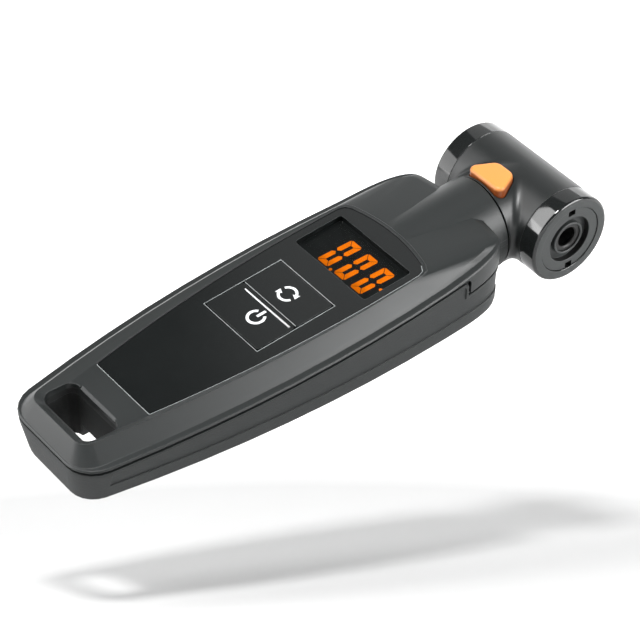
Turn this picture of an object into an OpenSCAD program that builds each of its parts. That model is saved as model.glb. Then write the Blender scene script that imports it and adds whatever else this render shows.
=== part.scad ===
// Digital tyre pressure gauge with a swivelling two-sided valve head.
// X runs from the tail to the head, Y across, and Z up from the plane of the back.
// The origin lies on that plane, under the middle of the whole gauge.
// The deck frame is tilted: its stations run from the tail, its heights from the panel's face.

/* [Housing] */
// Length of the housing, from the tail to the middle of its front edge
housing_l = 127.8; // [118:0.1:140]
// Greatest width of the housing
housing_w = 46.6; // [43:0.1:54]
// Station of the greatest width
widest_at = 76; // [65:1:90]
// Width that the bowed sides would have at the tail
tail_w = 32.05; // [28:0.05:36]
// Radius of the tail corners
tail_corner_r = 8.5; // [6:0.1:11]
// Length over which the head end rounds in
head_round_l = 16.5; // [14:0.1:26]
// Width of the front edge between its rounded corners
front_w = 30; // [24:0.5:32]
// Radius of the front edge, seen from above
front_r = 86; // [50:1:150]
// Height of the deck above the back, at the tail
deck_h = 15; // [14:0.1:18]
// Tilt of the deck against the back
deck_tilt = 4.3; // [3:0.1:5]
// Height of the ledge above the back, at the tail
ledge_h = 12.9; // [12:0.05:14]
// Tilt of the ledge and of the crest against the back
ledge_tilt = 3.25; // [2.8:0.05:3.8]
// Wall of the two shells
wall = 2; // [1.6:0.1:2.4]
// Inward draft of the side walls, from rim to back
side_draft = 1.2; // [0.8:0.05:2]
// Extra draft at the tail; it runs out toward the front edge
tail_draft = 1.45; // [0.5:0.05:2.2]
// Rounding of the edge of the back
back_round = 3; // [1.5:0.1:3.5]

/* [Rim and parting line] */
// Height of the flat lip over the panel
lip_h = 0.3; // [0.15:0.05:0.4]
// Width of the flat lip round the panel
lip_w = 0.3; // [0.15:0.05:0.35]
// Width of the slope inside the crest, at the tail; it runs out toward the front edge
slope_w = 3.8; // [3.4:0.1:4.4]
// Station of the crest at the tail
crest_at = 3.4; // [3:0.1:4]
// Width of the crest between the panel's head edge and the shoulder
crest_lip = 1.2; // [0.9:0.1:1.6]
// Radius of the crest's tail corners
crest_corner_r = 4; // [3:0.1:5]
// Width of the bevel along the sides
bevel_w = 3.6; // [3.2:0.1:4.2]
// Height of the bevel
bevel_h = 4.35; // [4.1:0.05:4.7]
// Width of the ledge below the bevel
ledge_w = 1.9; // [1.4:0.1:2.4]
// Width of the ledge at the tail
tail_ledge_w = 0.6; // [0.4:0.05:1]
// Rounding of the crest and of the ledge's edge
edge_round = 0.35; // [0.1:0.05:0.6]
// Rise of the ledge at the front edge
front_rise = 1.2; // [0:0.1:1.6]
// Height of the top shell's rim below the ledge
rim_h = 0.5; // [0.4:0.05:0.8]
// Extra depth of the top shell's skirt round the head end
skirt_h = 4.9; // [4:0.1:6]
// Length of that skirt, back from the front edge
skirt_l = 15.3; // [14:0.1:18]
// Width of the parting groove
groove_w = 0.8; // [0.5:0.05:1]
// Depth of the parting groove
groove_d = 0.9; // [0.5:0.1:1.2]
// Width of the bead between the groove and the inset sides
bead_w = 0.7; // [0.4:0.05:1]
// Depth of the inset sides of the bottom shell
inset_d = 0.3; // [0.15:0.05:0.45]
// Height of the plain band below the inset sides
band_h = 6.2; // [4.5:0.1:7.5]
// Station where the inset sides begin
inset_at = 7.6; // [6:0.1:12]

/* [Lanyard slot] */
// Station of the slot's tail edge
slot_at = 6; // [5.8:0.1:7.5]
// Length of the slot
slot_l = 9.3; // [8:0.1:10]
// Width of the slot
slot_w = 20.2; // [16:0.1:21]
// Radius of the slot's corners
slot_corner_r = 2.5; // [1:0.1:3.2]
// Chamfer of the slot's edge next to the panel
slot_chamfer = 0.7; // [0.3:0.05:1]
// Depth of the slot's relief in the back
relief_h = 3.5; // [2:0.1:4]
// Reach of that relief beyond the slot, toward the panel
relief_l = 3.5; // [2:0.1:4]

/* [Panel, keys and display] */
// Station of the panel's tail edge
panel_at = 22.6; // [21:0.1:26]
// Length of the shoulder, from the panel's head edge to the front edge
shoulder_l = 22.7; // [21:0.1:25]
// Bulge of the shoulder, as a share of its length
shoulder_bulge = 0.2; // [0.1:0.01:0.28]
// Radius of the panel's curved head edge
panel_arc_r = 48; // [40:1:70]
// Radius of the panel's head corners
panel_corner_r = 2.2; // [1:0.1:3]
// Radius of the panel's tail corners
panel_tail_r = 0.6; // [0.3:0.1:1.5]
// Thickness of the panel and of the lens
panel_t = 1.6; // [1.2:0.1:2]
// Thickness of the shell's floor under the panel
floor_t = 1.4; // [1:0.1:1.8]
// Play round the panel, the lens and the display
fit_gap = 0.1; // [0.05:0.01:0.15]
// Length of the window, along the gauge
window_l = 14.5; // [12:0.1:15.5]
// Width of the window
window_w = 27.7; // [24:0.1:28.4]
// Distance from the panel's head edge back to the window
window_back = 5.65; // [5.2:0.05:7]
// Distance from the window back to the keys
key_space = 6.85; // [5:0.05:9]
// Length of one key, along the gauge
key_l = 11.3; // [9:0.1:12]
// Width of a key
key_w = 21; // [18:0.1:23]
// Gap round the keys
key_gap = 0.3; // [0.2:0.05:0.4]
// Height of the keys over the panel
key_proud = 0.15; // [0:0.05:0.3]
// Travel of a key
key_travel = 0.4; // [0.2:0.05:0.5]
// Frame of the display glass round the window
glass_margin = 0.95; // [0.6:0.05:1.05]
// Thickness of the display glass
glass_t = 1.8; // [1.2:0.1:2.2]
// Thickness of the backlight
light_t = 4.1; // [3.6:0.1:4.6]
// Width of a contact strip
strip_w = 1.8; // [1.2:0.1:2.2]

/* [Circuit board] */
// Width of the circuit board
board_w = 27; // [25:0.5:29]
// Thickness of the circuit board
board_t = 1.6; // [1:0.1:1.8]
// Length of the board beyond the keys, toward the tail
board_tail = 8; // [7:0.1:10]
// Radius of a boss that carries the board
boss_r = 2.2; // [1.8:0.1:2.5]
// Radius of a board screw's shank
board_screw_r = 0.8; // [0.6:0.05:1]
// Side of a key switch
switch_w = 6; // [5:0.1:7]
// Height of a key switch
switch_h = 2; // [1.5:0.1:2.2]
// Radius of a key switch's button, and of the key's plunger
switch_r = 1.6; // [1:0.1:2]
// Length and width of the pressure sensor
sensor_w = 9; // [7:0.1:10]
// Radius of the sensor's port and of the socket's nipple
port_r = 1.5; // [1.2:0.05:1.8]
// Radius of the port's bore
port_bore_r = 0.8; // [0.5:0.05:1]
// Wall of the air tube
tube_wall = 0.85; // [0.6:0.05:1]
// Length of the air tube
tube_l = 6; // [5:0.1:7]

/* [Battery] */
// Radius of the coin cell
cell_r = 10; // [8:0.1:11.5]
// Height of the coin cell
cell_h = 3.2; // [2.5:0.1:3.6]
// Radius of the battery cover
cover_r = 12; // [12:0.1:13]
// Thickness of the battery cover's disc
cover_t = 2; // [1.8:0.1:2.4]
// Depth of the cover's face below the back
cover_sunk = 0.3; // [0.2:0.05:0.5]
// Reach of a bayonet lug beyond the cover
lug_reach = 1.4; // [1:0.1:1.8]
// Height of a bayonet lug
lug_h = 0.7; // [0.6:0.05:0.8]
// Angle that a bayonet lug covers
lug_angle = 24; // [18:1:30]
// Turn of the cover from locked to open
cover_turn = 35; // [30:1:45]
// Radius of the cover seal's section
cover_seal_r = 0.5; // [0.4:0.02:0.55]

/* [Housing screws] */
// Radius of a housing screw's shank
screw_r = 1.1; // [0.9:0.05:1.3]
// Radius of a housing screw's head
screw_head_r = 2.1; // [1.8:0.05:2.2]
// Height of a housing screw's head
screw_head_h = 1.6; // [1.2:0.1:2]
// Length of a housing screw's shank
screw_l = 10.6; // [10:0.1:11.2]
// Height of the tail screws' seat
seat_tail = 4; // [3.5:0.1:4.5]
// Height of the head screws' seat
seat_head = 8; // [7:0.1:9]

/* [Neck and swivel] */
// Radius of the neck
neck_r = 12.5; // [12.3:0.05:13]
// Reach of the neck beyond the front edge
neck_reach = 4.7; // [3:0.1:6]
// Clearance of the neck over the plane of the back
back_clear = 0.05; // [0.02:0.01:0.2]
// Gap between the neck and the head
swivel_gap = 0.6; // [0.4:0.05:0.9]
// Running clearance of turning and sliding fits
run_gap = 0.06; // [0.03:0.01:0.09]
// Thickness of the neck's front lip
lip_t = 2.9; // [2.4:0.1:3.4]
// Radius of the spigot where it passes the lip
spigot_neck_r = 6.9; // [6.2:0.05:7.4]
// Radius of the spigot's trapped flange
flange_r = 9.6; // [9:0.05:10]
// Thickness of the spigot's trapped flange
flange_t = 2.3; // [1.8:0.1:2.8]
// Radius of the spigot's shaft in the socket
shaft_r = 5; // [4.6:0.05:5.4]
// Length of the spigot's shaft in the socket
shaft_l = 10; // [9:0.1:11]
// Radius of the spigot's end in the head
spigot_end_r = 5.5; // [5:0.05:6]
// Length of the spigot's end in the head
spigot_end_l = 4.2; // [3:0.1:4.6]
// Radius of the air passage
air_r = 1.5; // [1:0.05:1.8]
// Section radius of the swivel seals
ring_r = 0.4; // [0.3:0.02:0.5]
// Wall of the swivel socket
socket_wall = 2.9; // [2.4:0.1:3.2]
// Thickness of the socket's rear wall
socket_back_t = 3.3; // [3:0.1:4]

/* [Valve head] */
// Radius of the barrel and of the stem
barrel_r = 12.3; // [12:0.05:12.5]
// Length of the barrel with its end caps
barrel_l = 39.8; // [38:0.1:44]
// Distance from the neck's end to the barrel's axis
stem_l = 14.3; // [14:0.1:16]
// Radius of the blend between stem and barrel
blend_r = 2; // [1:0.1:4]
// Length of an end cap
cap_l = 5.5; // [5:0.1:6]
// Rounding of an end cap's outer edge
cap_round = 0.4; // [0.2:0.1:1]
// Depth of an end cap's thread in the barrel
cap_thread_l = 4; // [3:0.1:4.5]
// Radius of an end cap's thread
cap_thread_r = 10.5; // [10.1:0.05:10.9]
// Radius of an insert disc
insert_r = 9.4; // [9:0.05:9.8]
// Depth of an insert disc's seat
insert_seat = 3.2; // [2.8:0.1:3.4]
// Length of an insert's boss behind its seat
insert_boss_l = 1.3; // [0.8:0.1:1.5]
// Depth of an insert's face in its cap
insert_sunk = 0.25; // [0.1:0.05:0.4]
// Radius of the dished middle of an insert
dish_r = 6.8; // [6:0.1:7.2]
// Depth of the dished middle
dish_d = 1.7; // [1:0.1:2]
// Radius of the hole for a car valve
schrader_r = 4.19; // [4.1:0.01:4.35]
// Radius of the hole for a narrow bicycle valve
presta_r = 3.25; // [3.1:0.01:3.4]
// Outer radius of a valve seal
seal_r = 8.2; // [7.8:0.05:8.4]
// Relief of a seal's hole over its insert's hole
seal_relief = 0.6; // [0.4:0.05:1]
// Radius of the valve shuttle
shuttle_r = 6.1; // [5.6:0.05:6.5]
// Travel of the valve shuttle to each side
shuttle_travel = 1; // [0.6:0.1:1.2]
// Radius of the core pin
pin_r = 1.2; // [0.8:0.05:1.4]
// Reach of the core pin beyond the shuttle
pin_reach = 5.6; // [4.5:0.1:6]

/* [Release button] */
// Width of the button at its swivel end
button_w = 12; // [10:0.1:14]
// Width of the button at its narrow end
button_nose_w = 6; // [5:0.1:8]
// Length of the button
button_l = 7.7; // [7.2:0.1:8.8]
// Distance from the stem's end to the button
button_back = 0.75; // [0.6:0.05:0.9]
// Height of the button's top over the stem
button_proud = 1.2; // [0.9:0.1:1.6]
// Bevel of the button's top edge
button_bevel = 1.1; // [0.6:0.1:1.3]
// Corner radius of the button
button_corner_r = 2; // [1.4:0.1:2.4]
// Depth of the button's skirt in its pocket
button_skirt = 2.7; // [2.4:0.1:3]
// Gap round the button
button_gap = 0.25; // [0.2:0.05:0.35]
// Travel of the button
button_travel = 1.3; // [0.8:0.1:1.5]
// Radius of the release stem
stem_pin_r = 1.6; // [1.3:0.05:1.7]
// Height of the release stem's tip over the swivel axis
stem_tip = 1.9; // [1.7:0.1:2.2]
// Wire radius of the release spring
spring_wire_r = 0.2; // [0.15:0.01:0.25]
// Coils of the release spring
spring_coils = 4; // [3:1:5]

/* [Hidden] */
$fn = 64;

housing_grey = [0.27, 0.29, 0.29];
gloss_black = [0.05, 0.05, 0.06];
rubber_black = [0.1, 0.1, 0.1];
button_orange = [0.95, 0.5, 0.13];
steel = [0.75, 0.76, 0.78];
brass = [0.8, 0.66, 0.36];
acetal = [0.88, 0.87, 0.83];

far = 200;
touch = 0.05;
// Reach of a cutter past the face that it opens, so that no thin skin is left
past = 0.3;

// Rim: each outline is the rim's outline moved inward
side_r = pow(widest_at, 2) / (housing_w - tail_w);
crest_in = ledge_w + bevel_w;
split_z = -rim_h;
skirt_z = split_z - skirt_h;
skirt_at = housing_l - skirt_l;
skirt_corner_r = 1.5;
draft_z = split_z - groove_w - bead_w - past;
roof_in = 0.6;
shoulder_share = 0.3;
rise_l = 1.4 * head_round_l;

// Swivel chain, along X from the tail
axis_z = max(neck_r, barrel_r) + back_clear;
neck_end = housing_l + neck_reach;
head_x = neck_end + stem_l;
tail_x = -(head_x + barrel_r) / 2;
stem_rear = swivel_gap - stem_l;
play = 0.2;
flange_gap = 0.3;
groove_front = -lip_t;
groove_rear = groove_front - flange_t - 2 * play;
socket_front = groove_rear - play;
shaft_end = groove_rear + play - shaft_l;
socket_chamber = shaft_end - 2;
socket_rear = socket_chamber - socket_back_t;
socket_r = shaft_r + run_gap + socket_wall;
socket_rib_r = socket_r + 1;
socket_rib_t = 1.8;
shaft_rings = [groove_rear + play - shaft_l * 0.32, groove_rear + play - shaft_l * 0.72];
ring_floor = shaft_r - 2 * ring_r + run_gap / 2;
bulkhead_t = 1.5;

// Where the socket's rear middle lies in the deck frame
air_s = (neck_end + socket_rear) * cos(deck_tilt) + (axis_z - deck_h) * sin(deck_tilt);
air_z = (axis_z - deck_h) * cos(deck_tilt) - (neck_end + socket_rear) * sin(deck_tilt);
neck_z = (axis_z - deck_h) * cos(deck_tilt) - neck_end * sin(deck_tilt);

// Stations on the deck, from the head back to the tail
panel_apex = housing_l - shoulder_l;
window_head = panel_apex - window_back;
window_mid = window_head - window_l / 2;
keys_l = 2 * key_l + 3 * key_gap;
keys_head = window_head - window_l - key_space;
keys_tail = keys_head - keys_l;
keys_mid = (keys_head + keys_tail) / 2;
power_mid = keys_tail + key_gap + key_l / 2;
mode_mid = keys_head - key_gap - key_l / 2;
slot_end = slot_at + slot_l;
screw_web = 1.8;
screw_tail_back = 4;
screw_tail_s = slot_end + screw_tail_back;
screw_tail_y = slot_w / 2 + screw_web;
cavity_tail = screw_tail_s + screw_head_r + screw_web;
cavity_head = air_s - bulkhead_t;

// Heights below the panel's face
floor_z = -panel_t - floor_t;
lens_corner_r = 0.8;
glass_l = window_l + 2 * glass_margin;
glass_w = window_w + 2 * glass_margin;
glass_z = -panel_t - glass_t;
light_in = 2;
board_z = glass_z - light_t;
board_back_z = board_z - board_t;
board_from = keys_tail - board_tail;
board_gap = 1.2;
board_to = cavity_head - board_gap;
boss_edge = 0.8;
boss_in = boss_r + boss_edge;
boss_ends = [board_from + boss_in, board_to - boss_in];
boss_y = board_w / 2 - boss_in + boss_edge / 2;
board_screw_h = 1;
board_screw_head_r = 1.9 * board_screw_r;
board_screw_end = 0.5;
switch_button_h = 0.5;
plunger_z = board_z + switch_h + switch_button_h + key_travel + touch;
key_corner_r = 0.8;
key_flange = 0.8;
key_flange_t = 1;
key_flange_z = floor_z - touch * 2;
tube_r = port_r + touch + tube_wall;
tube_gap = 1;
tube_from = bulkhead_t + tube_gap;
notch_gap = 0.3;
notch_at = air_s - tube_from - tube_l - notch_gap;
notch_w = 2 * (tube_r + notch_gap);
sensor_h = 2 * (board_back_z - air_z);

// Battery, along Z from the back
battery_x = keys_mid * cos(deck_tilt);
cover_top = cover_sunk + cover_t;
lug_gap = 0.3;
lug_r = cover_r + lug_reach;
lug_z = cover_top - lug_h;
lugs = 3;
seal_seat = cover_top + 2 * cover_seal_r + 2 * touch;
seal_mid_r = cell_r + 2 * cover_seal_r;
cell_rim = 0.8;
cell_step = 0.3;
cover_boss_r = cell_r - cell_rim;
cell_z = seal_seat + touch;
cell_top = cell_z + cell_h;
cell_gap = 0.3;
well_wall = 1.6;
well_r = lug_r + lug_gap + well_wall;
well_top = cell_top + cell_gap;
coin_slot = [12, 1.8, 0.9];
contact_t = 0.3;
contact_w = 4;

// Head screws
screw_head_back = 15;
screw_head_side = 2.6;
screw_head_x = neck_end - screw_head_back;
screw_head_y = socket_rib_r + screw_head_r + screw_head_side;
screw_recess = 0.3;

// Valve head, along Y from the middle of the barrel
barrel_half = barrel_l / 2;
seam_y = barrel_half - cap_l;
web_y = seam_y - cap_thread_l;
seat_y = barrel_half - insert_seat;
insert_back = seat_y - insert_boss_l;
cap_bore_r = seal_r + fit_gap;
chamber_r = shuttle_r + run_gap;
shuttle_room = 0.4;
shuttle_land = 4;
shuttle_half = web_y - shuttle_travel - shuttle_room;
waist_r = shuttle_r - air_r;
waist_half = shuttle_half - shuttle_land;
cup_r = 2.6;
cup_bore_r = 1.6;
cup_l = 3;
notch = [1.7, 1, 1];

// Release valve, along Z from the swivel axis
stem_share = 0.74;
button_rear = stem_rear + button_back;
button_mid = button_rear + button_l * stem_share;
button_top = barrel_r + button_proud;
button_shoulder = button_top - button_bevel;
button_low = barrel_r - button_skirt;
pocket_room = 0.3;
pocket_low = button_low - button_travel - pocket_room;
spring_well = 3;
spring_low = pocket_low - spring_well;
spring_gap = 0.3;
spring_mid_r = stem_pin_r + spring_wire_r + spring_gap;
spring_well_r = spring_mid_r + spring_wire_r + spring_gap;
stem_hold = 1.8;
seal_z = stem_tip + 1;
release_seal_r = 0.35;
release_groove = 2 * release_seal_r;

// Half width of the rim at a station, and of an outline inside it that spreads toward the front edge
function half_width(s) = housing_w / 2 - pow(s - widest_at, 2) / (2 * side_r);
function side(s, in, spread) = half_width(s) - in - spread * (1 - s / housing_l);
function side_slope(s, spread) = (widest_at - s) / side_r + spread / housing_l;
function bezier(a, b, c, t) = (1 - t) * (1 - t) * a + 2 * t * (1 - t) * b + t * t * c;
function both_sides(half) =
    concat(half, [for (k = [len(half) - 1 : -1 : 0]) [half[k][0], -half[k][1]]]);

// Rounded tail corner, from the tail edge at a station to the bowed side
function tail_corner(start, in, r, spread, n = 5) =
    let (lean = atan(side_slope(start + r, spread)),
         mid = start + r,
         low = side(mid - r * sin(lean), in, spread) - r * cos(lean))
    [for (k = [0 : n]) let (a = 180 - k * (90 - lean) / n) [mid + r * cos(a), low + r * sin(a)]];

function bowed_side(from, to, in, spread, n) =
    [for (k = [1 : n]) let (s = from + (to - from) * k / n) [s, side(s, in, spread)]];

// Head corner and front edge of the housing, tangent to the side and to the front arc
function front_station(y) = housing_l - y * y / (2 * front_r);
function head_corner(in, front_in, spread, n = 8) =
    let (from = housing_l - head_round_l,
         a = [from, side(from, in, spread)],
         y = front_w / 2,
         c = [front_station(y) - front_in, y],
         fall = side_slope(from, spread),
         lead = y / front_r,
         s = (c[0] - lead * (a[1] - fall * a[0] - y)) / (1 + lead * fall),
         b = [s, a[1] + fall * (s - a[0])])
    [for (k = [0 : n]) bezier(a, b, c, k / n)];
function front_edge(front_in, n = 4) =
    [for (k = [1 : n - 1]) let (y = front_w / 2 * (1 - k / n)) [front_station(y) - front_in, y]];

// Outline of the housing, moved inward: 6 + 8 + 9 + 3 points a side
function rim(in, front_in, tail_in, spread = 0) =
    let (r = max(tail_corner_r - in, 1.5))
    both_sides(concat(tail_corner(tail_in, in, r, spread),
                      bowed_side(tail_in + r, housing_l - head_round_l - 6, in, spread, 8),
                      head_corner(in, front_in, spread),
                      front_edge(front_in)));

// Outline with a curved head edge, for the crest and the panel, with as many points as the rim
function arc_station(apex, y) = apex - y * y / (2 * panel_arc_r);
function deck_outline(start, apex, in, tail_r, spread = 0) =
    let (r = panel_corner_r,
         y = side(apex, in, spread),
         s = arc_station(apex, y),
         a = [s - r, side(s - r, in, spread)],
         b = [s, side(s, in, spread)],
         c = [arc_station(apex, y - r), y - r],
         side_end = s - r - 6)
    both_sides(concat(tail_corner(start, in, tail_r, spread),
                      bowed_side(start + tail_r, side_end, in, spread, 8),
                      bowed_side(side_end, s - r - 0.5, in, spread, 3),
                      [for (t = [0, 0.5, 1]) bezier(a, b, c, t)],
                      [for (k = [1 : 6]) let (w = (y - r) * (1 - k / 7)) [arc_station(apex, w), w]]));

function foot_outline(in) = rim(in + ledge_w, in + 2 * touch, in + tail_ledge_w);
function crest_outline(in, grow) = deck_outline(in + crest_at + grow, panel_apex + crest_lip - grow,
                                                crest_in + grow, crest_corner_r - grow);

// Partway up the bevel; at the head end it stays close to the front edge, so that the shoulder bulges
function shoulder_outline(in) =
    let (low = foot_outline(in), high = crest_outline(in, 0))
    [for (k = [0 : len(low) - 1])
        let (bulge = shoulder_bulge * max(0, low[k][0] - high[k][0]) / shoulder_l)
        low[k] + (high[k] - low[k]) * (shoulder_share - bulge)];

function panel_outline(grow) =
    deck_outline(panel_at - grow, panel_apex + grow, crest_in - grow, panel_tail_r, slope_w);

function cavity_outline(in, spread = 0, n = 6) =
    both_sides([for (k = [0 : n])
        let (s = cavity_tail + (cavity_head - cavity_tail) * k / n) [s, side(s, in, spread)]]);

// Outlines set at a height over the back, over the tilted deck or over the tilted ledge
function on_level(outline, z) = [for (p = outline) [tail_x + p[0], p[1], z]];
function on_slope(outline, z, start_h, tilt) = [for (p = outline)
    [tail_x + p[0] * cos(tilt) - z * sin(tilt), p[1], start_h + p[0] * sin(tilt) + z * cos(tilt)]];
function on_deck(outline, z) = on_slope(outline, z, deck_h, deck_tilt);
function on_ledge(outline, z) = on_slope(outline, z, ledge_h, ledge_tilt);

// The ledge rises a little round the head end
function rise(s) = front_rise * max(0, s - housing_l + rise_l) / rise_l;
function on_rise(outline, z) = [for (p = outline) each on_ledge([p], z + rise(p[0]))];

// Frames
module deck() translate([tail_x, 0, deck_h]) rotate([0, -deck_tilt, 0]) children();
module ledge() translate([tail_x, 0, ledge_h]) rotate([0, -ledge_tilt, 0]) children();
module level(z) translate([tail_x, 0, z]) children();
module swivel() translate([tail_x + neck_end, 0, axis_z]) children();
module head() translate([tail_x + head_x, 0, axis_z]) children();
module battery() translate([tail_x + battery_x, 0, 0]) children();
module air_line() deck() translate([air_s, 0, air_z]) rotate([0, -90, 0]) children();
module release() head() translate([button_mid, 0, 0]) children();

// Turned pieces: profiles are given as radius and place along the axis
module along_x() rotate([0, 90, 0]) rotate_extrude() children();
module along_y() rotate([-90, 0, 0]) rotate_extrude() children();
module x_bar(r, from, to) translate([from, 0, 0]) rotate([0, 90, 0]) cylinder(r = r, h = to - from);
module y_bar(r, from, to) translate([0, from, 0]) rotate([-90, 0, 0]) cylinder(r = r, h = to - from);
module z_bar(r, from, to) translate([0, 0, from]) cylinder(r = r, h = to - from);
module ring(mid_r, section_r) rotate_extrude() translate([mid_r, 0]) circle(r = section_r, $fn = 24);

// Skin over rings of points, each clockwise when seen from the last ring
module loft(rings) {
    n = len(rings[0]);
    last = len(rings) - 1;
    walls = [for (k = [0 : last - 1], j = [0 : n - 1])
        let (a = k * n + j, b = k * n + (j + 1) % n)
        each [[a, b, b + n], [a, b + n, a + n]]];
    low = [for (j = [n : -1 : 1]) j % n];
    high = [for (j = [0 : n - 1]) last * n + j];
    polyhedron(points = [for (r = rings) each r], faces = concat(walls, [low, high]), convexity = 6);
}

module slab(low, high) translate([0, 0, low]) linear_extrude(high - low) children();
module rounded(l, w, r) {
    square([l - 2 * r, w], center = true);
    square([l, w - 2 * r], center = true);
    for (i = [-1, 1], j = [-1, 1]) translate([i * (l / 2 - r), j * (w / 2 - r)]) circle(r = r);
}

// The housing from its rounded back up over the rim, ledge and bevel to the crest, and down to the deck;
// the crest's curved head edge is drawn out to the front edge as the shoulder
module housing_form(in = 0) loft(concat(
    [for (a = [90 : -30 : 0])
        let (turn_in = back_round * (1 - cos(a)), move = in + side_draft + turn_in)
        on_level(rim(move, in + side_draft / 2 + turn_in, move, tail_draft),
                 back_round * (1 - sin(a)))],
    [on_ledge(rim(in, in, in), draft_z),
     on_rise(rim(in, in, in), -edge_round),
     on_rise(rim(in + edge_round, in + touch, in + edge_round), 0),
     on_rise(foot_outline(in), touch),
     on_rise(shoulder_outline(in), shoulder_share * bevel_h),
     on_ledge(crest_outline(in, 0), bevel_h - edge_round),
     on_ledge(crest_outline(in, edge_round), bevel_h),
     on_deck(deck_outline(slot_at - lip_w, panel_apex + lip_w, crest_in - lip_w,
                          panel_corner_r, slope_w), lip_h)]));

module neck() intersection() {
    deck() translate([panel_apex, 0, neck_z]) x_bar(neck_r, 0, shoulder_l + neck_reach + neck_r);
    level(0) translate([0, -far / 2, 0]) cube([neck_end, far, far]);
}

module cavity() loft([
    on_level(cavity_outline(side_draft + wall + back_round / 2, tail_draft), wall),
    on_level(cavity_outline(side_draft + wall, tail_draft), wall + back_round / 2),
    on_ledge(cavity_outline(wall), draft_z),
    on_deck(cavity_outline(ledge_w + wall + roof_in), floor_z)]);

// Everything below the parting line, drawn back by a gap
module below_split(gap = 0) ledge() translate([0, far / 2, 0]) rotate([90, 0, 0]) linear_extrude(far)
    let (high = split_z - gap,
         low = skirt_z - gap,
         end = skirt_at - gap,
         r = skirt_corner_r,
         corner = [for (a = [90 : -15 : 0]) [end - r + r * cos(a), high - r + r * sin(a)]])
    polygon(concat([[-far, -far], [-far, high]], corner, [[end, low], [far, low], [far, -far]]));

module lanyard_slot() {
    level(-1) translate([slot_at + slot_l / 2, 0, 0]) linear_extrude(far)
        rounded(slot_l, slot_w, slot_corner_r);
    level(-1) translate([slot_end - slot_corner_r, slot_corner_r - slot_w / 2, 0])
        cube([slot_corner_r + relief_l, slot_w - 2 * slot_corner_r, relief_h + 1]);
    deck() rotate([90, 0, 0]) translate([slot_end, lip_h, past + slot_corner_r - slot_w / 2])
        linear_extrude(slot_w - 2 * slot_corner_r - 2 * past)
            polygon([[-past, -slot_chamfer - past], [slot_chamfer + past, past], [-past, past]]);
}

// Room for the spigot, its flange and the socket, in both shells
module swivel_room() {
    swivel() {
        x_bar(spigot_neck_r + run_gap, groove_front - 1, 1);
        x_bar(flange_r + flange_gap, groove_rear, groove_front);
        x_bar(socket_r + touch, socket_rear - touch, groove_rear + touch);
        x_bar(socket_rib_r + touch, socket_chamber - socket_rib_t - touch, socket_chamber + touch);
    }
    air_line() z_bar(port_r + touch * 2, -1, bulkhead_t + 1);
}

module screw_places() {
    for (side = [-1, 1]) {
        level(seat_tail) translate([screw_tail_s, side * screw_tail_y, 0]) children();
        level(seat_head) translate([screw_head_x, side * screw_head_y, 0]) children();
    }
}

module screw_holes() screw_places() {
    z_bar(screw_r + touch, -far / 4, screw_l + screw_recess);
    z_bar(screw_head_r + screw_recess, -far / 4, 0);
}

module boss_places() deck() for (s = boss_ends, side = [-1, 1])
    translate([s, side * boss_y, board_z]) children();

module key_opening(low, high, grow = 0) deck() translate([keys_mid, 0, 0]) slab(low, high)
    square([keys_l + 2 * grow, key_w + 2 * key_gap + 2 * grow], center = true);

module top_shell() color(housing_grey) difference() {
    union() {
        difference() {
            union() {
                housing_form();
                neck();
            }
            below_split();
            cavity();
        }
        boss_places() z_bar(boss_r, 0, floor_z - board_z + touch);
    }
    deck() slab(-panel_t, far) polygon(panel_outline(fit_gap));
    key_opening(floor_z - 1, 0);
    deck() translate([window_mid, 0, 0]) slab(floor_z - 1, 0)
        square([glass_l + 2 * fit_gap, glass_w + 2 * fit_gap], center = true);
    boss_places() z_bar(board_screw_r + touch, -1, floor_z - board_z - board_screw_end);
    lanyard_slot();
    swivel_room();
    screw_holes();
}

// The cutters below reach past the parting faces
module inset_sides() difference() {
    intersection() {
        below_split(groove_w + bead_w);
        level(band_h) translate([inset_at, -far / 2, 0]) cube(far);
    }
    housing_form(inset_d);
}

module parting_groove() difference() {
    below_split(-past);
    below_split(groove_w);
    housing_form(groove_d);
    neck();
}

module bottom_shell() color(housing_grey) difference() {
    union() {
        difference() {
            intersection() {
                union() {
                    housing_form();
                    neck();
                }
                below_split();
            }
            cavity();
            inset_sides();
            parting_groove();
        }
        battery() z_bar(well_r, touch, well_top);
    }
    battery_room();
    lanyard_slot();
    swivel_room();
    screw_holes();
}

// Cover seat, lug tracks and cell pocket
module battery_room() battery() {
    z_bar(cover_r + run_gap, -1, seal_seat);
    z_bar(cell_r + cell_gap, -1, well_top + 1);
    for (k = [0 : lugs - 1]) {
        lug_track(k * 360 / lugs - lug_angle / 2 - cover_turn, lug_angle + cover_turn,
                  lug_z - lug_gap, cover_top + lug_gap);
        lug_track(k * 360 / lugs - lug_angle / 2 - cover_turn, lug_angle, -1, cover_top);
    }
    translate([-contact_w / 2 - cell_gap, cell_r - 1, cell_z])
        cube([contact_w + 2 * cell_gap, contact_t + cell_gap * 2 + 1, far]);
}

module lug_track(from, sweep, low, high) {
    side_play = 2;
    rotate([0, 0, from - side_play]) translate([0, 0, low])
        rotate_extrude(angle = sweep + 2 * side_play) square([lug_r + lug_gap, high - low]);
}

module face_panel() color(gloss_black) difference() {
    deck() slab(-panel_t, 0) polygon(panel_outline(0));
    key_opening(-panel_t - 1, 1);
    deck() translate([window_mid, 0, 0]) slab(-panel_t - 1, 1)
        rounded(window_l + 2 * fit_gap, window_w + 2 * fit_gap, fit_gap + lens_corner_r);
}

module display_lens() color([0.1, 0.08, 0.07]) deck() translate([window_mid, 0, 0])
    slab(-panel_t, 0) rounded(window_l, window_w, lens_corner_r);

module lcd_glass() color([0.12, 0.09, 0.08]) deck() translate([window_mid, 0, 0])
    slab(glass_z, -panel_t) square([glass_l, glass_w], center = true);

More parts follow.
